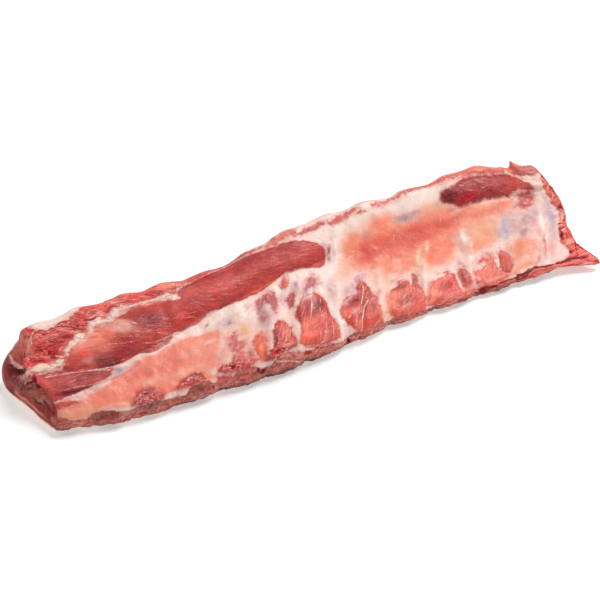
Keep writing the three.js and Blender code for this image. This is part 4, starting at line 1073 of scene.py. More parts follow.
def thread_places():
    """Where each thread runs over the surface, how thick it is and how pale."""
    outlines = {row[0]: row[-1] for row in MUSCLES}
    outlines["fold"] = FOLD
    steps = np.linspace(-0.5, 0.5, THREAD_STEPS)
    first, across, thick, pale = [], [], [], []
    for row, (name, draws, turn, spread, length, half, tone) in enumerate(THREADS):
        low, high = np.min(outlines[name], axis=0), np.max(outlines[name], axis=0)
        k = np.arange(draws)
        s0 = mix(low[0], high[0], hashed(k, row, 61))
        v0 = mix(low[1], high[1], hashed(k, row, 62))
        kept = inside(s0, v0, outlines[name]) > 0.8
        angle = np.radians(turn + spread * (2 * hashed(k, row, 63) - 1))[kept, None]
        size = (length * (0.5 + hashed(k, row, 64)))[kept, None]
        bow = 0.2 * size * (2 * hashed(k, row, 65) - 1)[kept, None]
        a, b = size * steps, bow * (1 - 4 * steps * steps)
        first.append(s0[kept, None] + a * np.cos(angle) - b * np.sin(angle))
        across.append(v0[kept, None] + a * np.sin(angle) + b * np.cos(angle))
        thick.append((half * (0.6 + 0.8 * hashed(k, row, 66)))[kept])
        pale.append(clamp(tone + 0.5 * (hashed(k, row, 67) - 0.5))[kept])
    s, v = np.clip(np.concatenate(first), 1.5, LENGTH - 1.5), np.concatenate(across)
    return s + 0.5 * lumps(s / 2.5, v / 2.5, 68), v, np.concatenate(thick), np.concatenate(pale)


def fibre_places(s, v, turn):
    """The place counted along the muscle's fibres and across them."""
    angle = np.radians(turn)
    return s * np.cos(angle) + v * np.sin(angle), v * np.cos(angle) - s * np.sin(angle)


def fine_relief(s, u, f):
    """Small forms that the fine mesh adds to the solid's relief."""
    v = front_count(u)
    bare = smooth(-0.5, 0.7, f["bare"])
    first, across = fibre_places(s, v, f["turn"])
    streak = 0.5 * lumps(first / 14, across / 2.4, 11) + 0.35 * lumps(first / 7, across / 1.5, 12)
    height = 0.5 * streak * bare
    height = height + f["stand"] - 0.3 * bell(f["bare"], -0.2, 0.9) * smooth(180, 200, s)
    torn = f["rough"] * smooth(50, 56, v) * smooth(99, 92, v) * smooth(170, 120, s)
    height = height + torn * (1.5 * lumps(first / 9, across / 3.4, 13) + 0.35 * lumps(s / 3, v / 2.4, 14))
    height = height - 1.2 * bell(v, 40, 2) * bell(s, 66, 14)
    height = height + 0.5 * smooth(-1.2, 1.2, f["fat"]) * (1 + 0.5 * lumps(s / 3, v / 3, 15))
    front = smooth(-0.5, 1.5, f["front"])
    height = height + front * (0.8 * lumps(s / 5, v / 4, 16) + 0.45 * lumps(s / 2.2, v / 2, 17) - 0.6)
    ragged = smooth(505, 513, s) * smooth(108, 96, v)
    height = height + ragged * (0.9 * lumps(s / 4.5, v / 3.8, 54) + 0.35 * lumps(s / 2, v / 1.8, 55))
    height = height - 1.3 * f["hole"]
    return height + (1 - bare) * (0.28 * lumps(s / 6, v / 6, 18) + 0.12 * lumps(s / 2.5, v / 2.5, 19))


def cut_fields(end, points):
    """What a cut end is made of at each point, as fields does for the sides."""
    y, z = points[:, 1], points[:, 2]
    wy = y + 1.4 * lumps(y / 6, z / 6, 41) + 0.6 * lumps(y / 2.5, z / 2.5, 46)
    wz = z + 1.4 * lumps(y / 6, z / 6, 42) + 0.6 * lumps(y / 2.5, z / 2.5, 47)
    zero = np.zeros(len(points))
    bare = zero + FAR_OUTSIDE
    meat = coat(y, MEAT)
    for colour, places in CUT_MUSCLES[end]:
        d = inside(wy, wz, places)
        bare = np.maximum(bare, d)
        meat = paint(meat, smooth(-1, 1, d), colour)
    meat = paint(meat, 0.4 * clamp(0.3 + lumps(y / 7, z / 6, 43)), CUT_MOTTLE[end])
    for colour, amount, *spot in CUT_SHADES[end]:
        meat = paint(meat, amount * oval(wy, wz, *spot), colour)
    for colour, amount, half, places in CUT_LINES[end]:
        line = smooth(1.25 * half, 0.6 * half, path_distance(wy, wz, places))
        meat = paint(meat, amount * line, colour)
    return {
        "bare": bare, "front": zero - 10, "fat": zero - 20, "hole": zero, "meat": meat,
        "skin": coat(y, CUT_FAT), "grain": zero, "rough": zero + 0.4, "busy": zero, "calm": zero,
        # Painted shade low on the cut ends, darkest next to the table
        "shade": 0.75 * smooth(13, 2, z) * clamp(0.9 + 0.4 * lumps(y / 9, 1, 69)),
    }


def stretch_places(stretches):
    places = []
    start = 0
    for length, steps in stretches:
        places += [start + length * k / steps for k in range(steps)]
        start += length
    return np.array(places)


def cut_relief(end, y, z):
    """How far a cut end's meat stands out, with a deep seam between its muscles."""
    eye = 2.5 * bell(y, -8, 26) * bell(z, 24, 13) + 1.5 * bell(y, -42, 12) * bell(z, 16, 8)
    if end == "hip":
        seam = -3 * smooth(3, 0.6, path_distance(y, z, DEEP_SEAM))
    else:
        seam = -2.5 * bell(z, 40, 3.5) * bell(y, 2, 16)
    fine = 0.6 * lumps(y / 3, z / 3, 20) + 0.3 * lumps(y / 1.5, z / 1.5, 21)
    return eye + seam + 0.8 * lumps(y / 8, z / 7, 5 if end == "hip" else 6) + fine


def cut_plane(end, y, z):
    return hip_cut(y, z) if end == "hip" else LENGTH + shoulder_cut(y, z)


def cut_face(end, rim):
    """Rings from just inside the rim to the middle of a cut face, and that middle."""
    middle = rim.mean(axis=0)
    sign = -1 if end == "hip" else 1
    rings = []
    for k in range(1, CUT_RINGS + 1):
        t = k / (CUT_RINGS + 1)
        within = min(1, 2.4 * t)
        y = mix(rim[:, 1], middle[1], t)
        z = mix(rim[:, 2], middle[2], t)
        x = cut_plane(end, y, z) + sign * within * cut_relief(end, y, z)
        rings.append(np.stack([mix(rim[:, 0], x, within), y, z], -1))
    y, z = middle[1], middle[2]
    x = cut_plane(end, y, z) + sign * cut_relief(end, y, z)
    return np.stack(rings), np.array([[float(x), y, z]])


def add_attribute(mesh, name, values):
    """Puts numbers, colours or places on the mesh's points."""
    values = np.asarray(values, np.float32)
    kind, key = ("FLOAT", "value") if values.ndim == 1 else ("FLOAT_VECTOR", "vector")
    if name in ("meat", "skin"):
        kind, key = "FLOAT_COLOR", "color"
        values = np.column_stack([values, np.ones(len(values), np.float32)])
    mesh.attributes.new(name, kind, "POINT").data.foreach_set(key, values.ravel())


def build_loin():
    """The closed mesh of the piece, its size in columns and rows, and how far it moves into the frame."""
    columns = stretch_places(COLUMNS)
    run = np.linspace(EDGE, LENGTH - EDGE, ROWS - 2 * len(EDGE_ROWS))
    rows = np.concatenate([EDGE_ROWS, run, LENGTH - np.array(EDGE_ROWS[::-1])])
    s, u = np.meshgrid(rows, columns, indexing="ij")
    side_fields = fields(s, u)
    sides = side_point(s, u, fine_relief(s, u, side_fields))
    hip_rings, hip_middle = cut_face("hip", sides[0])
    shoulder_rings, shoulder_middle = cut_face("shoulder", sides[-1])
    hip_rings = hip_rings[::-1].reshape(-1, 3)
    shoulder_rings = shoulder_rings.reshape(-1, 3)
    points = np.concatenate([hip_rings, sides.reshape(-1, 3), shoulder_rings, hip_middle, shoulder_middle])
    count = len(columns)
    lines = 2 * CUT_RINGS + len(rows)
    here = np.arange(count)
    there = (here + 1) % count
    steps = (np.arange(lines - 1) * count)[:, None]
    corners = (steps + here, steps + count + here, steps + count + there, steps + there)
    quads = np.stack(corners, -1).reshape(-1, 4)
    top = (lines - 1) * count
    hip_fan = [(len(points) - 2, int(a), int(b)) for a, b in zip(here, there)]
    shoulder_fan = [(len(points) - 1, top + int(b), top + int(a)) for a, b in zip(here, there)]

    box_low, box_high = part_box("loin")
    low, high = points.min(axis=0), points.max(axis=0)
    shift = (np.array(box_low) + np.array(box_high)) / 2 / MM - (low + high) / 2
    shift[2] = box_low[2] / MM - low[2]
    mesh = bpy.data.meshes.new("loin_meat")
    mesh.from_pydata(((points + shift) * MM).tolist(), [], quads.tolist() + hip_fan + shoulder_fan)

    ends = [cut_fields("hip", hip_rings), cut_fields("shoulder", shoulder_rings)]
    middles = [cut_fields("hip", hip_middle), cut_fields("shoulder", shoulder_middle)]
    for name in ends[0]:
        values = side_fields[name]
        parts = [ends[0][name], values.reshape((s.size,) + values.shape[2:]), ends[1][name]]
        add_attribute(mesh, name, np.concatenate(parts + [middle[name] for middle in middles]))
    lay = np.stack([points[:, 1], points[:, 2], np.full(len(points), CUT_LAYER)], -1)
    inner = slice(CUT_RINGS * count, CUT_RINGS * count + s.size)
    v = front_count(u)
    lay[inner] = np.stack([s.ravel(), v.ravel(), np.zeros(s.size)], -1)
    strand = lay.copy()
    strand[inner, :2] = np.stack(fibre_places(s, v, side_fields["turn"]), -1).reshape(-1, 2)
    add_attribute(mesh, "lay", lay * MM)
    add_attribute(mesh, "strand", strand * MM)
    return mesh, count, len(rows), shift


class Value:
    """One node's output, which adds, subtracts and multiplies as a number does."""

    def __init__(self, net, socket):
        self.net = net
        self.socket = socket

    def __add__(self, other):
        return self.net.math("ADD", self, other)

    def __radd__(self, other):
        return self.net.math("ADD", other, self)

    def __sub__(self, other):
        return self.net.math("SUBTRACT", self, other)

    def __rsub__(self, other):
        return self.net.math("SUBTRACT", other, self)

    def __mul__(self, other):
        return self.net.math("MULTIPLY", self, other)


class Net:
    """Builds nodes in one tree. A node takes numbers, colours from 0 to 255 and other nodes' values."""

    def __init__(self, tree):
        self.tree = tree

    def put(self, socket, value):
        if isinstance(value, Value):
            self.tree.links.new(value.socket, socket)
        elif value is not None:
            plain_colour = socket.type == "RGBA" and len(value) == 3
            socket.default_value = linear(value) if plain_colour else value

    def node(self, kind, inputs=(), **settings):
        made = self.tree.nodes.new(kind)
        for name, value in settings.items():
            setattr(made, name, value)
        for key, value in dict(inputs).items():
            self.put(made.inputs[key], value)
        return made

    def value(self, kind, inputs=(), output=0, **settings):
        return Value(self, self.node(kind, inputs, **settings).outputs[output])

    def math(self, operation, a, b=None, limit=False):
        return self.value("ShaderNodeMath", {0: a, 1: b}, operation=operation, use_clamp=limit)

    def step(self, value, low, high):
        inputs = {0: value, 1: low, 2: high}
        return self.value("ShaderNodeMapRange", inputs, interpolation_type="SMOOTHSTEP")

    def near(self, value, centre, reach):
        """1 where the value is at the centre, 0 further off than the reach."""
        return self.step(self.math("ABSOLUTE", value - centre), reach, 0)

    def blend(self, amount, a, b, kind="MIX"):
        return self.value("ShaderNodeMix", {0: amount, 6: a, 7: b}, 2, data_type="RGBA", blend_type=kind)

    def tinted(self, colour, tint, value, low, high, amount):
        """The colour, tinted by the amount where the value has passed from low to high."""
        return self.blend(self.step(value, low, high) * amount, colour, tint)

    def scaled(self, colour, factor):
        return self.value("ShaderNodeVectorMath", {0: colour, "Scale": factor}, operation="SCALE")

    def stretch(self, where, scale):
        return self.value("ShaderNodeMapping", {"Vector": where, "Scale": scale})

    def turned(self, where, angle):
        return self.value("ShaderNodeMapping", {"Vector": where, "Rotation": (0, 0, angle)})

    def noise(self, where, scale, detail=3, rough=0.55, warp=0):
        """Noise from 0 to 1; a scale for each axis draws it out."""
        if isinstance(scale, tuple):
            where = self.stretch(where, scale)
            scale = 1
        inputs = {"Vector": where, "Scale": scale, "Detail": detail, "Roughness": rough, "Distortion": warp}
        return self.value("ShaderNodeTexNoise", inputs)

    def waver(self, *settings):
        """Noise to both sides of 0."""
        return self.noise(*settings) - 0.5

    def patches(self, where, scale, low, high, *settings):
        """1 where the noise is over high, 0 where it is under low."""
        return self.step(self.noise(where, scale, *settings), low, high)

    def cell_edge(self, where, scale, spread):
        """Distance to the border between uneven cells."""
        inputs = {"Vector": self.stretch(where, scale), "Scale": 1, "Randomness": spread}
        return self.value("ShaderNodeTexVoronoi", inputs, "Distance", feature="DISTANCE_TO_EDGE")

    def ramp(self, value, stops):
        made = self.node("ShaderNodeValToRGB", {0: value})
        elements = made.color_ramp.elements
        while len(elements) < len(stops):
            elements.new(0.5)
        for element, (place, colour) in zip(elements, stops):
            element.position = place
            element.color = linear(colour)
        return Value(self, made.outputs[0])

    def read(self, name, kind="Fac"):
        return self.value("ShaderNodeAttribute", (), kind, attribute_name=name)

    def use(self, name, **inputs):
        """The outputs of a shader group by name."""
        made = self.node("ShaderNodeGroup", inputs, node_tree=bpy.data.node_groups[name])
        return {socket.name: Value(self, socket) for socket in made.outputs}

    def bump(self, height, strength, distance):
        inputs = {"Strength": strength, "Distance": distance, "Height": height}
        return self.value("ShaderNodeBump", inputs)


FLOAT = "NodeSocketFloat"
VECTOR = "NodeSocketVector"
COLOUR = "NodeSocketColor"


def new_group(build, outputs, **inputs):
    """Shader group named for its function, which takes the group's inputs and gives its outputs."""
    tree = bpy.data.node_groups.new(build.__name__, "ShaderNodeTree")
    for name, start in inputs.items():
        kind = start if isinstance(start, str) else FLOAT
        socket = tree.interface.new_socket(name, in_out="INPUT", socket_type=kind)
        if kind == FLOAT:
            socket.default_value = start
    for name in outputs:
        kind = COLOUR if name == "colour" else FLOAT
        tree.interface.new_socket(name, in_out="OUTPUT", socket_type=kind)
    net = Net(tree)
    entry = tree.nodes.new("NodeGroupInput").outputs
    results = build(net, *[Value(net, entry[name]) for name in inputs])
    net.node("NodeGroupOutput", dict(enumerate(results)))


def ragged_edge(net, distance, where, wobble, softness):
    """A mask with an uneven rim from a signed distance in millimetres, and the distance as moved."""
    uneven = net.waver(where, 210, 3, 0.6) * 3.6 + net.waver(where, 800, 2, 0.6) * 1.6
    moved = uneven * wobble + distance
    return net.step(moved, softness * -1, softness), moved


def muscle_fibre(net, strand, marbling):
    """Muscle fibres along the strand: bundles, streaks, thin pale sinews and flecks, the flecks partly
    marbling and partly painted highlights, and their height.
    """
    offset = net.value("ShaderNodeCombineXYZ", {1: net.waver(strand, 30, 2, 0.5) * 0.016})
    where = net.value("ShaderNodeVectorMath", {0: strand, 1: offset}, operation="ADD")
    fine = net.waver(where, (190, 1100, 300), 2, 0.6)
    thin = net.waver(where, (120, 560, 200), 3, 0.65)
    wide = net.waver(where, (48, 190, 120), 3, 0.6)
    streak = fine * 0.5 + thin * 0.8 + wide * 0.9
    cells = net.cell_edge(where, (55, 330, 150), 0.9)
    vein = net.waver(where, (430, 760, 300), 2, 0.6, 0.4)
    # Pale flecks, partly marbling and partly painted highlights of the wet surface
    fleck_and_glint = net.step(vein, 0.12, 0.24) * net.patches(where, 75, 0.34, 0.60, 2, 0.5)
    sinew = net.waver(where, (24, 200, 90), 3, 0.55, 0.3)
    line = net.near(sinew, 0.03, 0.02) * net.patches(where, 40, 0.46, 0.62, 2, 0.5)
    seam = net.step(cells, 0.09, 0.02) * net.patches(where, 90, 0.42, 0.62, 2, 0.5)
    pale = net.math("MAXIMUM", fleck_and_glint * 0.9, net.math("MAXIMUM", line * 0.6, seam * 0.25))
    height = streak * 0.8 + pale * 0.3 + net.step(cells, 0, 0.25) * 0.35
    return streak, net.math("MULTIPLY", pale, marbling, limit=True), height


def moist_film(net, where, dry, wet):
    """Wet film: glossy where it pools, duller where the surface has dried, with a soft height."""
    wide = net.noise(where, 70, 3, 0.6)
    small = net.noise(where, 480, 3, 0.6)
    pooled = net.step(wide * 0.6 + small * 0.4, 0.42, 0.60)
    return pooled * (dry - wet) + wet, wide * 0.5 + small


def sawn_crumb(net, where):
    """Sawn, browned surface: brown, tan and dark crumbs."""
    coarse = net.noise(where, 380, 4, 0.7)
    drawn = net.waver(where, (90, 360, 200), 3, 0.6, 1.2)
    colour = net.ramp(coarse + net.waver(where, 95, 3, 0.6) * 0.8 + drawn * 0.6, (
        (0.24, (112, 30, 32)), (0.38, (172, 78, 72)), (0.50, (204, 120, 110)), (0.62, (228, 158, 146)),
        (0.78, (250, 212, 200)),
    ))
    bent = net.value("ShaderNodeTexNoise", {"Vector": where, "Scale": 160, "Detail": 2}, "Color")
    inputs = {0: bent, 1: (0.006, 0.006, 0.006), 2: where}
    moved = net.value("ShaderNodeVectorMath", inputs, operation="MULTIPLY_ADD")
    edge = net.cell_edge(moved, (95, 170, 100), 1)
    some = net.patches(where, 70, 0.40, 0.58, 2)
    colour = net.tinted(colour, (132, 48, 46), edge, 0.12, 0.30, some * 0.40)
    colour = net.tinted(colour, (246, 196, 184), edge, 0.10, 0.03, some * 0.65)
    tinge = net.waver(where, 60, 3, 0.6, 0.6)
    colour = net.tinted(colour, (208, 78, 70), tinge, 0.03, 0.14, 0.55)
    return net.tinted(colour, (232, 176, 164), tinge, -0.05, -0.16, 0.55), coarse


def bare_muscle(net, tint, strand, where, torn, marbling, ground, strength):
    """Colour of bare muscle: its own tint, streaked and flecked, chunkier where it is torn, with painted
    highlights as pale specks and as glints on torn meat.
    """
    fibres = net.use("muscle_fibre", strand=strand, marbling=marbling)
    chunk = net.waver(strand, (70, 340, 200), 4, 0.62, 0.7) * torn
    level = fibres["streak"] * strength + net.waver(where, 150, 4, 0.62) * 1.1 + chunk * 0.6
    colour = net.scaled(tint, net.math("MAXIMUM", 1.05 + level, 0.45))
    colour = net.tinted(colour, (244, 140, 122), level, 0.12, 0.55, 0.40)
    colour = net.tinted(colour, DEEP_MEAT, level, -0.20, -0.60, 0.35)
    # Pale specks painted as highlights of the wet surface
    highlight_speck = net.patches(strand, (520, 900, 600), 0.56, 0.68, 2, 0.6)
    colour = net.blend(highlight_speck * 0.26, colour, (240, 166, 158))
    colour = net.blend(fibres["marble_and_glint"], colour, MARBLE_AND_GLINT)
    shred = net.waver(strand, (42, 270, 120), 3, 0.6, 0.8)
    colour = net.tinted(colour, (244, 158, 146), shred, 0.07, 0.20, torn * 0.35)
    colour = net.tinted(colour, (176, 30, 40), shred, -0.08, -0.20, torn * 0.40)
    # Painted glints on the torn meat
    glint = net.waver(strand, (90, 620, 300), 3, 0.6, 0.9)
    colour = net.tinted(colour, (250, 206, 196), glint, 0.13, 0.24, torn * 0.4)
    drawn = net.near(net.waver(strand, (22, 190, 90), 2, 0.55, 0.7), 0.03, 0.03)
    kept = net.patches(strand, 60, 0.42, 0.58, 2)
    colour = net.blend(drawn * kept * torn * 0.6, colour, (252, 200, 188))
    crumb = net.use("sawn_crumb", where=where)["colour"]
    sawn = net.blend(0.30, net.blend(0.5, colour, crumb, "OVERLAY"), crumb)
    colour = net.blend(ground, colour, sawn)
    warm = net.blend(1, colour, (1.03, 0.93, 0.86, 1), "MULTIPLY")
    return warm, fibres["height"] + chunk * 0.8


def membrane(net, tint, where, busy):
    """Thin skin over fat and bone: blotches, wisps along and across, fine pale wrinkles and red threads."""
    blotch = net.waver(where, 85, 4, 0.62)
    middle = net.waver(where, 230, 3, 0.6, 0.5)
    fine = net.waver(where, 620, 3, 0.65)
    slanted = net.turned(where, -0.95)
    drawn = net.waver(slanted, (70, 330, 200), 3, 0.6, 0.5)
    level = blotch * 0.20 + middle * 0.30 + fine * 0.22 + drawn * 0.30
    colour = net.scaled(tint, 1 + level * (busy * 0.7 + 1))
    crease = net.waver(net.turned(where, 0.7), (110, 420, 200), 3, 0.6, 0.8)
    colour = net.tinted(colour, (214, 78, 74), crease, 0.06, 0.20, busy * 0.75)
    colour = net.tinted(colour, (252, 172, 146), crease, -0.08, -0.22, busy * 0.65)
    both = blotch * 0.8 + middle * 0.6 + drawn * 0.6
    colour = net.blend(net.step(both, 0.03, 0.28) * 0.45, colour, (240, 150, 136), "MULTIPLY")
    colour = net.tinted(colour, WHITE_FAT, both, -0.08, -0.32, 0.30)
    wisp = net.waver(slanted, (50, 260, 150), 4, 0.65, 0.8)
    wrinkle = net.near(wisp, 0, 0.022) * net.patches(where, 60, 0.46, 0.62, 2, 0.5)
    colour = net.blend(wrinkle * 0.10, colour, (254, 226, 214))
    thread = net.near(net.waver(where, 170, 3, 0.6, 1.5), 0.02, 0.016)
    few = net.patches(where, 45, 0.54, 0.66, 1)
    colour = net.blend(thread * few * 0.40, colour, (214, 92, 86))
    return colour, fine * 0.9 + wrinkle * 0.1 + middle + drawn * 0.8


def make_groups():
    new_group(ragged_edge, ("mask", "moved"), distance=0, where=VECTOR, wobble=1, softness=0.5)
    new_group(muscle_fibre, ("streak", "marble_and_glint", "height"), strand=VECTOR, marbling=0.5)
    new_group(moist_film, ("roughness", "height"), where=VECTOR, dry=0.5, wet=0.25)
    new_group(sawn_crumb, ("colour", "height"), where=VECTOR)
    new_group(
        bare_muscle, ("colour", "height"), tint=COLOUR, strand=VECTOR, where=VECTOR,
        torn=0, marbling=0.5, ground=0, strength=0.6,
    )
    new_group(membrane, ("colour", "height"), tint=COLOUR, where=VECTOR, busy=0)


def new_material(name):
    material = bpy.data.materials.new(name)
    material.use_nodes = True
    material.node_tree.nodes.clear()
    net = Net(material.node_tree)
    shader = net.node("ShaderNodeBsdfPrincipled")
    net.node("ShaderNodeOutputMaterial", {0: Value(net, shader.outputs[0])})
    return material, net, shader.inputs


def flesh_finish(net, inputs, colour, roughness, relief=None, shine=FLESH_SHINE):
    """Colour, wetness and fine relief of flesh, which lets a little light into it."""
    settings = {
        "Base Color": colour, "Roughness": roughness, "Normal": relief, "Specular IOR Level": shine,
        "Subsurface Weight": 0.1, "Subsurface Radius": (0.003, 0.001, 0.0006), "Subsurface Scale": 1,
    }
    for name, value in settings.items():
        net.put(inputs[name], value)


def rib_side_material():
    """Bare muscles, the membrane between them, fat bands, clots and the sawn browned edge, with painted
    shade in hollows, creases and deep places.
    """
    material, net, inputs = new_material("rib_side")
    where = net.read("lay", "Vector")
    rough, grain = net.read("rough"), net.read("grain")
    skin = net.use("membrane", tint=net.read("skin", "Color"), where=where, busy=net.read("busy"))
    brown = net.use("ragged_edge", distance=net.read("front"), where=where, wobble=1.2, softness=1.2)
    meat = net.use(
        "bare_muscle", tint=net.read("meat", "Color"), strand=net.read("strand", "Vector"), where=where,
        torn=rough, marbling=grain * 0.45 + 0.30, ground=brown["mask"] * 0.9,
        strength=0.58 - grain * 0.15 - net.read("calm") * 0.40,
    )
    bare = net.use("ragged_edge", distance=net.read("bare"), where=where, wobble=rough + 0.7, softness=0.6)
    halo = net.step(bare["moved"], -1.7, 0.2) * net.patches(where, 160, 0.25, 0.65, 3, 0.6)
    skin_colour = net.blend(halo * 0.6, skin["colour"], meat["colour"])
    meat_colour = net.blend(net.near(bare["moved"], 0.7, 0.9) * 0.3, meat["colour"], DARK_MEAT)
    colour = net.blend(bare["mask"], skin_colour, meat_colour)
    fat = net.use("ragged_edge", distance=net.read("fat"), where=where, wobble=0.35, softness=0.5)
    fat_colour = net.use("membrane", tint=(255, 226, 210), where=where)["colour"]
    cover = 0.62 + net.patches(where, 230, 0.36, 0.6, 3, 0.6) * 0.34
    colour = net.blend(fat["mask"] * cover, colour, fat_colour)
    # Clots and vessels turn crimson, then near-black red; in hollows and creases this darkening is painted
    # shade
    sunk = net.read("hole") + net.waver(where, 420) * 0.4
    ring = net.near(sunk, 0.14, 0.10) * net.patches(where, 190, 0.4, 0.6)
    colour = net.blend(ring * 0.35, colour, (246, 190, 176))
    colour = net.tinted(colour, CRIMSON, sunk, 0.20, 0.50, 0.85)
    colour = net.tinted(colour, CLOT_AND_HOLLOW_SHADE, sunk, 0.48, 0.85, 0.85)
    # Painted shade from the shade attribute
    colour = net.scaled(colour, 1 - net.read("shade") * 0.8)
    film = net.use("moist_film", where=where, dry=0.48, wet=0.22)
    crumb = net.use("sawn_crumb", where=where)["height"] * brown["mask"]
    edge = bare["mask"] + fat["mask"] * 0.8
    height = meat["height"] * bare["mask"] * 0.9 + crumb * 1.6 + film["height"] * 0.25
    height = height + skin["height"] * 0.3 + edge * 0.25
    flesh_finish(net, inputs, colour, film["roughness"], net.bump(height, 0.55, 0.001))
    return material


def split_face_material():
    """Sawn backbone: pale bone with red marrow between strips of meat."""
    material, net, inputs = new_material("split_backbone")
    where = net.read("lay", "Vector")
    run = net.value("ShaderNodeSeparateXYZ", {0: where}, "X")
    across = net.value("ShaderNodeSeparateXYZ", {0: where}, "Y")
    wave = net.math("SINE", run * (2 * math.pi / (VERTEBRA * MM)) + 1.2)
    off_middle = net.math("ABSOLUTE", across - (INNER + CREST + 8) * MM)
    body = wave * 1.8 + 6.5 + net.waver(where, 34, 3, 0.6) * 26 - off_middle * 1000
    bone = net.use("ragged_edge", distance=body, where=where, wobble=1.2, softness=0.5)
    spongy = net.noise(where, 900, 3, 0.7)
    marrow = net.ramp(spongy, ((0.3, (150, 60, 56)), (0.5, (200, 110, 98)), (0.7, (236, 198, 180))))
    rind = net.near(bone["moved"], 0.5, 0.9) * net.patches(where, 55, 0.44, 0.60)
    marrow = net.blend(rind, marrow, (246, 226, 210))
    tint = net.blend(net.noise(where, 40), (196, 84, 80), (150, 60, 62))
    meat = net.use(
        "bare_muscle", tint=tint, strand=where, where=where, torn=0.5, marbling=0.7, ground=0.15,
    )
    colour = net.blend(bone["mask"], meat["colour"], marrow)
    border = across + net.waver(where, 30, 5, 0.62) * 0.018
    fatty = net.patches(where, (24, 120, 30), 0.54, 0.60, 3, 0.6)
    fatty = net.math("MAXIMUM", fatty, net.step(border, *FAT_BORDER))
    colour = net.blend(fatty, colour, net.use("membrane", tint=CREAM, where=where)["colour"])
    film = net.use("moist_film", where=where, dry=0.55, wet=0.32)
    height = meat["height"] * 0.5 + spongy * 0.4 + film["height"] * 0.3
    flesh_finish(net, inputs, colour, film["roughness"], net.bump(height, 0.5, 0.001))
    return material


def fat_material():
    """Fat side: cream fat with pink blushes, thin meat showing through in places, small dimples, and
    painted shade along its rim by the table.
    """
    material, net, inputs = new_material("fat_cover")
    where = net.read("lay", "Vector")
    tint = net.blend(net.patches(where, 28, 0.45, 0.75, 4, 0.6), (250, 226, 210), (240, 180, 162))
    fat = net.use("membrane", tint=tint, where=where)["colour"]
    meat = net.use(
        "bare_muscle", tint=(206, 96, 92), strand=where, where=where, torn=0.2, marbling=0.9,
    )["colour"]
    colour = net.blend(net.patches(where, (14, 40, 20), 0.60, 0.66, 4, 0.6) * 0.8, fat, meat)
    # Painted shade along the underside's rim by the table
    colour = net.blend(net.read("shade") * 0.9, colour, (96, 40, 38))
    film = net.use("moist_film", where=where, dry=0.52, wet=0.34)
    height = net.noise(where, 240, 3, 0.6) + film["height"] * 0.3
    flesh_finish(net, inputs, colour, film["roughness"], net.bump(height, 0.5, 0.0012))
    return material


def cut_material():
    """Cut ends: brown-red muscles across the grain with fat seams between them, and painted shade low down
    by the table.
    """
    material, net, inputs = new_material("cut_ends")
    where = net.read("lay", "Vector")
    bare = net.use("ragged_edge", distance=net.read("bare"), where=where, wobble=0.8, softness=0.5)["mask"]
    seam = net.near(net.waver(where, 70, 3, 0.55, 1.2), 0, 0.022) * net.patches(where, 50, 0.42, 0.6)
    spots = net.patches(where, 420, 0.56, 0.70, 3, 0.6, 0.6)
    dark = net.waver(where, 150, 5, 0.66, 0.8)
    grainy = net.waver(where, 520, 3, 0.6)
    colour = net.blend(0.45, net.read("meat", "Color"), (1, 0.86, 0.84, 1), "MULTIPLY")
    colour = net.scaled(colour, 1.10 + dark * 1.3 + grainy * 1.1)
    colour = net.tinted(colour, (86, 14, 20), dark, -0.05, -0.18, 0.45)
    pits = net.patches(where, 260, 0.55, 0.66, 4, 0.7, 0.6)
    colour = net.blend(pits * 0.55, colour, (78, 10, 16))
    colour = net.blend((seam * 0.5 + spots * 0.26) * 0.9, colour, (224, 128, 112))
    fat = net.use("membrane", tint=net.read("skin", "Color"), where=where)["colour"]
    # Fat seams, then painted shade from the shade attribute
    colour = net.scaled(net.blend(bare, fat, colour), 1 - net.read("shade") * 0.8)
    film = net.use("moist_film", where=where, dry=0.48, wet=0.28)
    height = net.use("sawn_crumb", where=where)["height"] * 0.6 + film["height"] * 0.5 + bare * 0.3
    relief = net.bump(height, 0.6, 0.0012)
    flesh_finish(net, inputs, colour, film["roughness"], relief, CUT_SHINE)
    return material


def thread_material():
    """Threads, from torn red fibre to pale sinew."""
    material, net, inputs = new_material("sinew_thread")
    where = net.value("ShaderNodeTexCoord", (), "Object")
    colour = net.ramp(net.read("pale"), (
        (0, (140, 12, 24)), (0.35, (206, 52, 52)), (0.65, (238, 106, 98)), (1, (255, 196, 182)),
    ))
    flesh_finish(net, inputs, net.scaled(colour, net.waver(where, 320, 2, 0.6) * 0.8 + 1), 0.32)
    return material


def add_object(name, data):
    made = bpy.data.objects.new(name, data)
    bpy.context.collection.objects.link(made)
    return made


def make_loin():
    mesh, count, row_count, shift = build_loin()
    for material in (rib_side_material(), split_face_material(), fat_material(), cut_material()):
        mesh.materials.append(material)
    columns = stretch_places(COLUMNS)
    kinds = np.zeros(count, int)
    kinds[(columns >= INNER + CREST + 1) & (columns < INNER + CREST + BACK)] = SPLIT_SLOT
    kinds[(columns >= INNER + CREST + BACK) & (columns < ROUND - FRONT)] = FAT_SLOT
    slots = np.tile(kinds, (row_count - 1 + 2 * CUT_RINGS, 1))
    slots[:CUT_RINGS] = CUT_SLOT
    slots[-CUT_RINGS:] = CUT_SLOT
    all_slots = np.concatenate([slots.ravel(), np.full(2 * count, CUT_SLOT)])
    mesh.polygons.foreach_set("material_index", all_slots.astype(np.int32))
    mesh.polygons.foreach_set("use_smooth", np.ones(len(mesh.polygons), bool))
    mesh.update()
    return add_object("loin_meat", mesh), shift


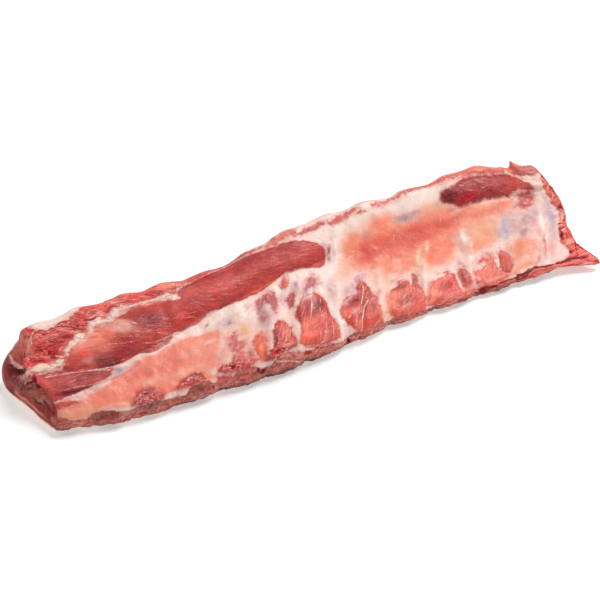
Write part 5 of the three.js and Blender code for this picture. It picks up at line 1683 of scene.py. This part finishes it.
def thread_tree(material):
    """A round thread along each line, fine at its ends."""
    tree = bpy.data.node_groups.new("sinew threads", "GeometryNodeTree")
    net = Net(tree)
    tree.interface.new_socket("Lines", in_out="INPUT", socket_type="NodeSocketGeometry")
    thickness = tree.interface.new_socket("Thickness", in_out="INPUT", socket_type=FLOAT)
    sides = tree.interface.new_socket("Sides", in_out="INPUT", socket_type="NodeSocketInt")
    tree.interface.new_socket("Threads", in_out="OUTPUT", socket_type="NodeSocketGeometry")
    outputs = tree.nodes.new("NodeGroupInput").outputs
    lines, thick, corners = (Value(net, outputs[name]) for name in ("Lines", "Thickness", "Sides"))
    curves = net.value("GeometryNodeMeshToCurve", {0: lines})
    factor = net.value("GeometryNodeSplineParameter", (), "Factor")
    off_middle = net.math("ABSOLUTE", factor * 2 - 1)
    half = net.value("GeometryNodeInputNamedAttribute", {"Name": "half"}, data_type="FLOAT")
    scale = half * thick * (1 - net.math("POWER", off_middle, 3) * 0.85)
    ring = net.value("GeometryNodeCurvePrimitiveCircle", {"Resolution": corners, "Radius": 1})
    tubes = net.value("GeometryNodeCurveToMesh", {0: curves, 1: ring, "Scale": scale, "Fill Caps": True})
    smooth_tubes = net.value("GeometryNodeSetShadeSmooth", {0: tubes})
    real = net.value("GeometryNodeRealizeInstances", {0: smooth_tubes})
    dressed = net.value("GeometryNodeSetMaterial", {0: real, "Material": material})
    net.node("NodeGroupOutput", {0: dressed})
    return tree, thickness.identifier, sides.identifier


def make_threads(shift):
    """The threads as one piece, sunk a little into the meat that they lie on."""
    s, v, half, pale = thread_places()
    u = np.where(v < 0, v + ROUND, v)
    sunk = 0.15 * half[:, None] + 0.35 * np.minimum(1, half[:, None] ** 2)
    points = side_point(s, u, fine_relief(s, u, fields(s, u)) - sunk) + shift
    ids = np.arange(s.size).reshape(s.shape)
    edges = np.stack([ids[:, :-1], ids[:, 1:]], -1).reshape(-1, 2)
    mesh = bpy.data.meshes.new("sinew_threads")
    mesh.from_pydata((points.reshape(-1, 3) * MM).tolist(), edges.tolist(), [])
    add_attribute(mesh, "half", np.repeat(half, THREAD_STEPS))
    add_attribute(mesh, "pale", np.repeat(pale, THREAD_STEPS))
    piece = add_object("sinew_threads", mesh)
    tree, thickness, sides = thread_tree(thread_material())
    modifier = piece.modifiers.new("threads", "NODES")
    modifier.node_group = tree
    modifier[thickness] = MM
    modifier[sides] = THREAD_SIDES
    evaluated = piece.evaluated_get(bpy.context.evaluated_depsgraph_get())
    piece.data = bpy.data.meshes.new_from_object(evaluated)
    piece.modifiers.clear()
    return piece


def make_floor():
    mesh = bpy.data.meshes.new("table")
    corners = [(x * FLOOR_HALF, y * FLOOR_HALF, 0) for x, y in ((-1, -1), (1, -1), (1, 1), (-1, 1))]
    mesh.from_pydata(corners, [], [(0, 1, 2, 3)])
    floor = add_object("table", mesh)
    material, net, inputs = new_material("pale_table")
    where = net.value("ShaderNodeTexCoord", (), "Object")
    cloudy = net.noise(where, 3, 2, 0.5)
    settings = {
        "Base Color": net.blend(cloudy, (0.93, 0.93, 0.93, 1), (0.96, 0.96, 0.96, 1)), "Roughness": 0.9,
        "Specular IOR Level": 0.1, "Emission Color": (1, 1, 1, 1), "Emission Strength": FLOOR_GLOW,
    }
    for name, value in settings.items():
        net.put(inputs[name], value)
    mesh.materials.append(material)


def make_camera(shift):
    yaw, lift = math.radians(VIEW_YAW), math.radians(VIEW_ELEVATION)
    look = Vector((math.sin(yaw) * math.cos(lift), math.cos(yaw) * math.cos(lift), -math.sin(lift)))
    target = (Vector(VIEW_TARGET) + Vector(shift)) * MM
    data = bpy.data.cameras.new("camera")
    data.sensor_width = SENSOR
    data.lens = FOCAL_PIXELS / PICTURE_PIXELS * SENSOR
    data.clip_end = CLIP_END
    camera = add_object("camera", data)
    camera.location = target - look * VIEW_DISTANCE * MM
    camera.rotation_euler = look.to_track_quat("-Z", "Y").to_euler()
    bpy.context.scene.camera = camera


def make_lighting():
    world = bpy.data.worlds.new("studio")
    world.use_nodes = True
    background = world.node_tree.nodes["Background"].inputs
    background[0].default_value = (1, 1, 1, 1)
    background[1].default_value = SKY_STRENGTH
    bpy.context.scene.world = world
    data = bpy.data.lights.new("soft_top", "AREA")
    data.shape = "RECTANGLE"
    data.size, data.size_y = LAMP_SIZE
    data.energy = LAMP_POWER
    lamp = add_object("soft_top", data)
    lamp.location = LAMP_PLACE
    lamp.rotation_euler = (Vector(LAMP_AIM) - Vector(LAMP_PLACE)).to_track_quat("-Z", "Y").to_euler()
    bpy.context.scene.view_settings.view_transform = "Standard"


make_groups()
loin, shift = make_loin()
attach(loin, "root")
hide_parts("loin")
threads = make_threads(shift)
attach(threads, "root")

make_floor()
make_camera(shift)
make_lighting()
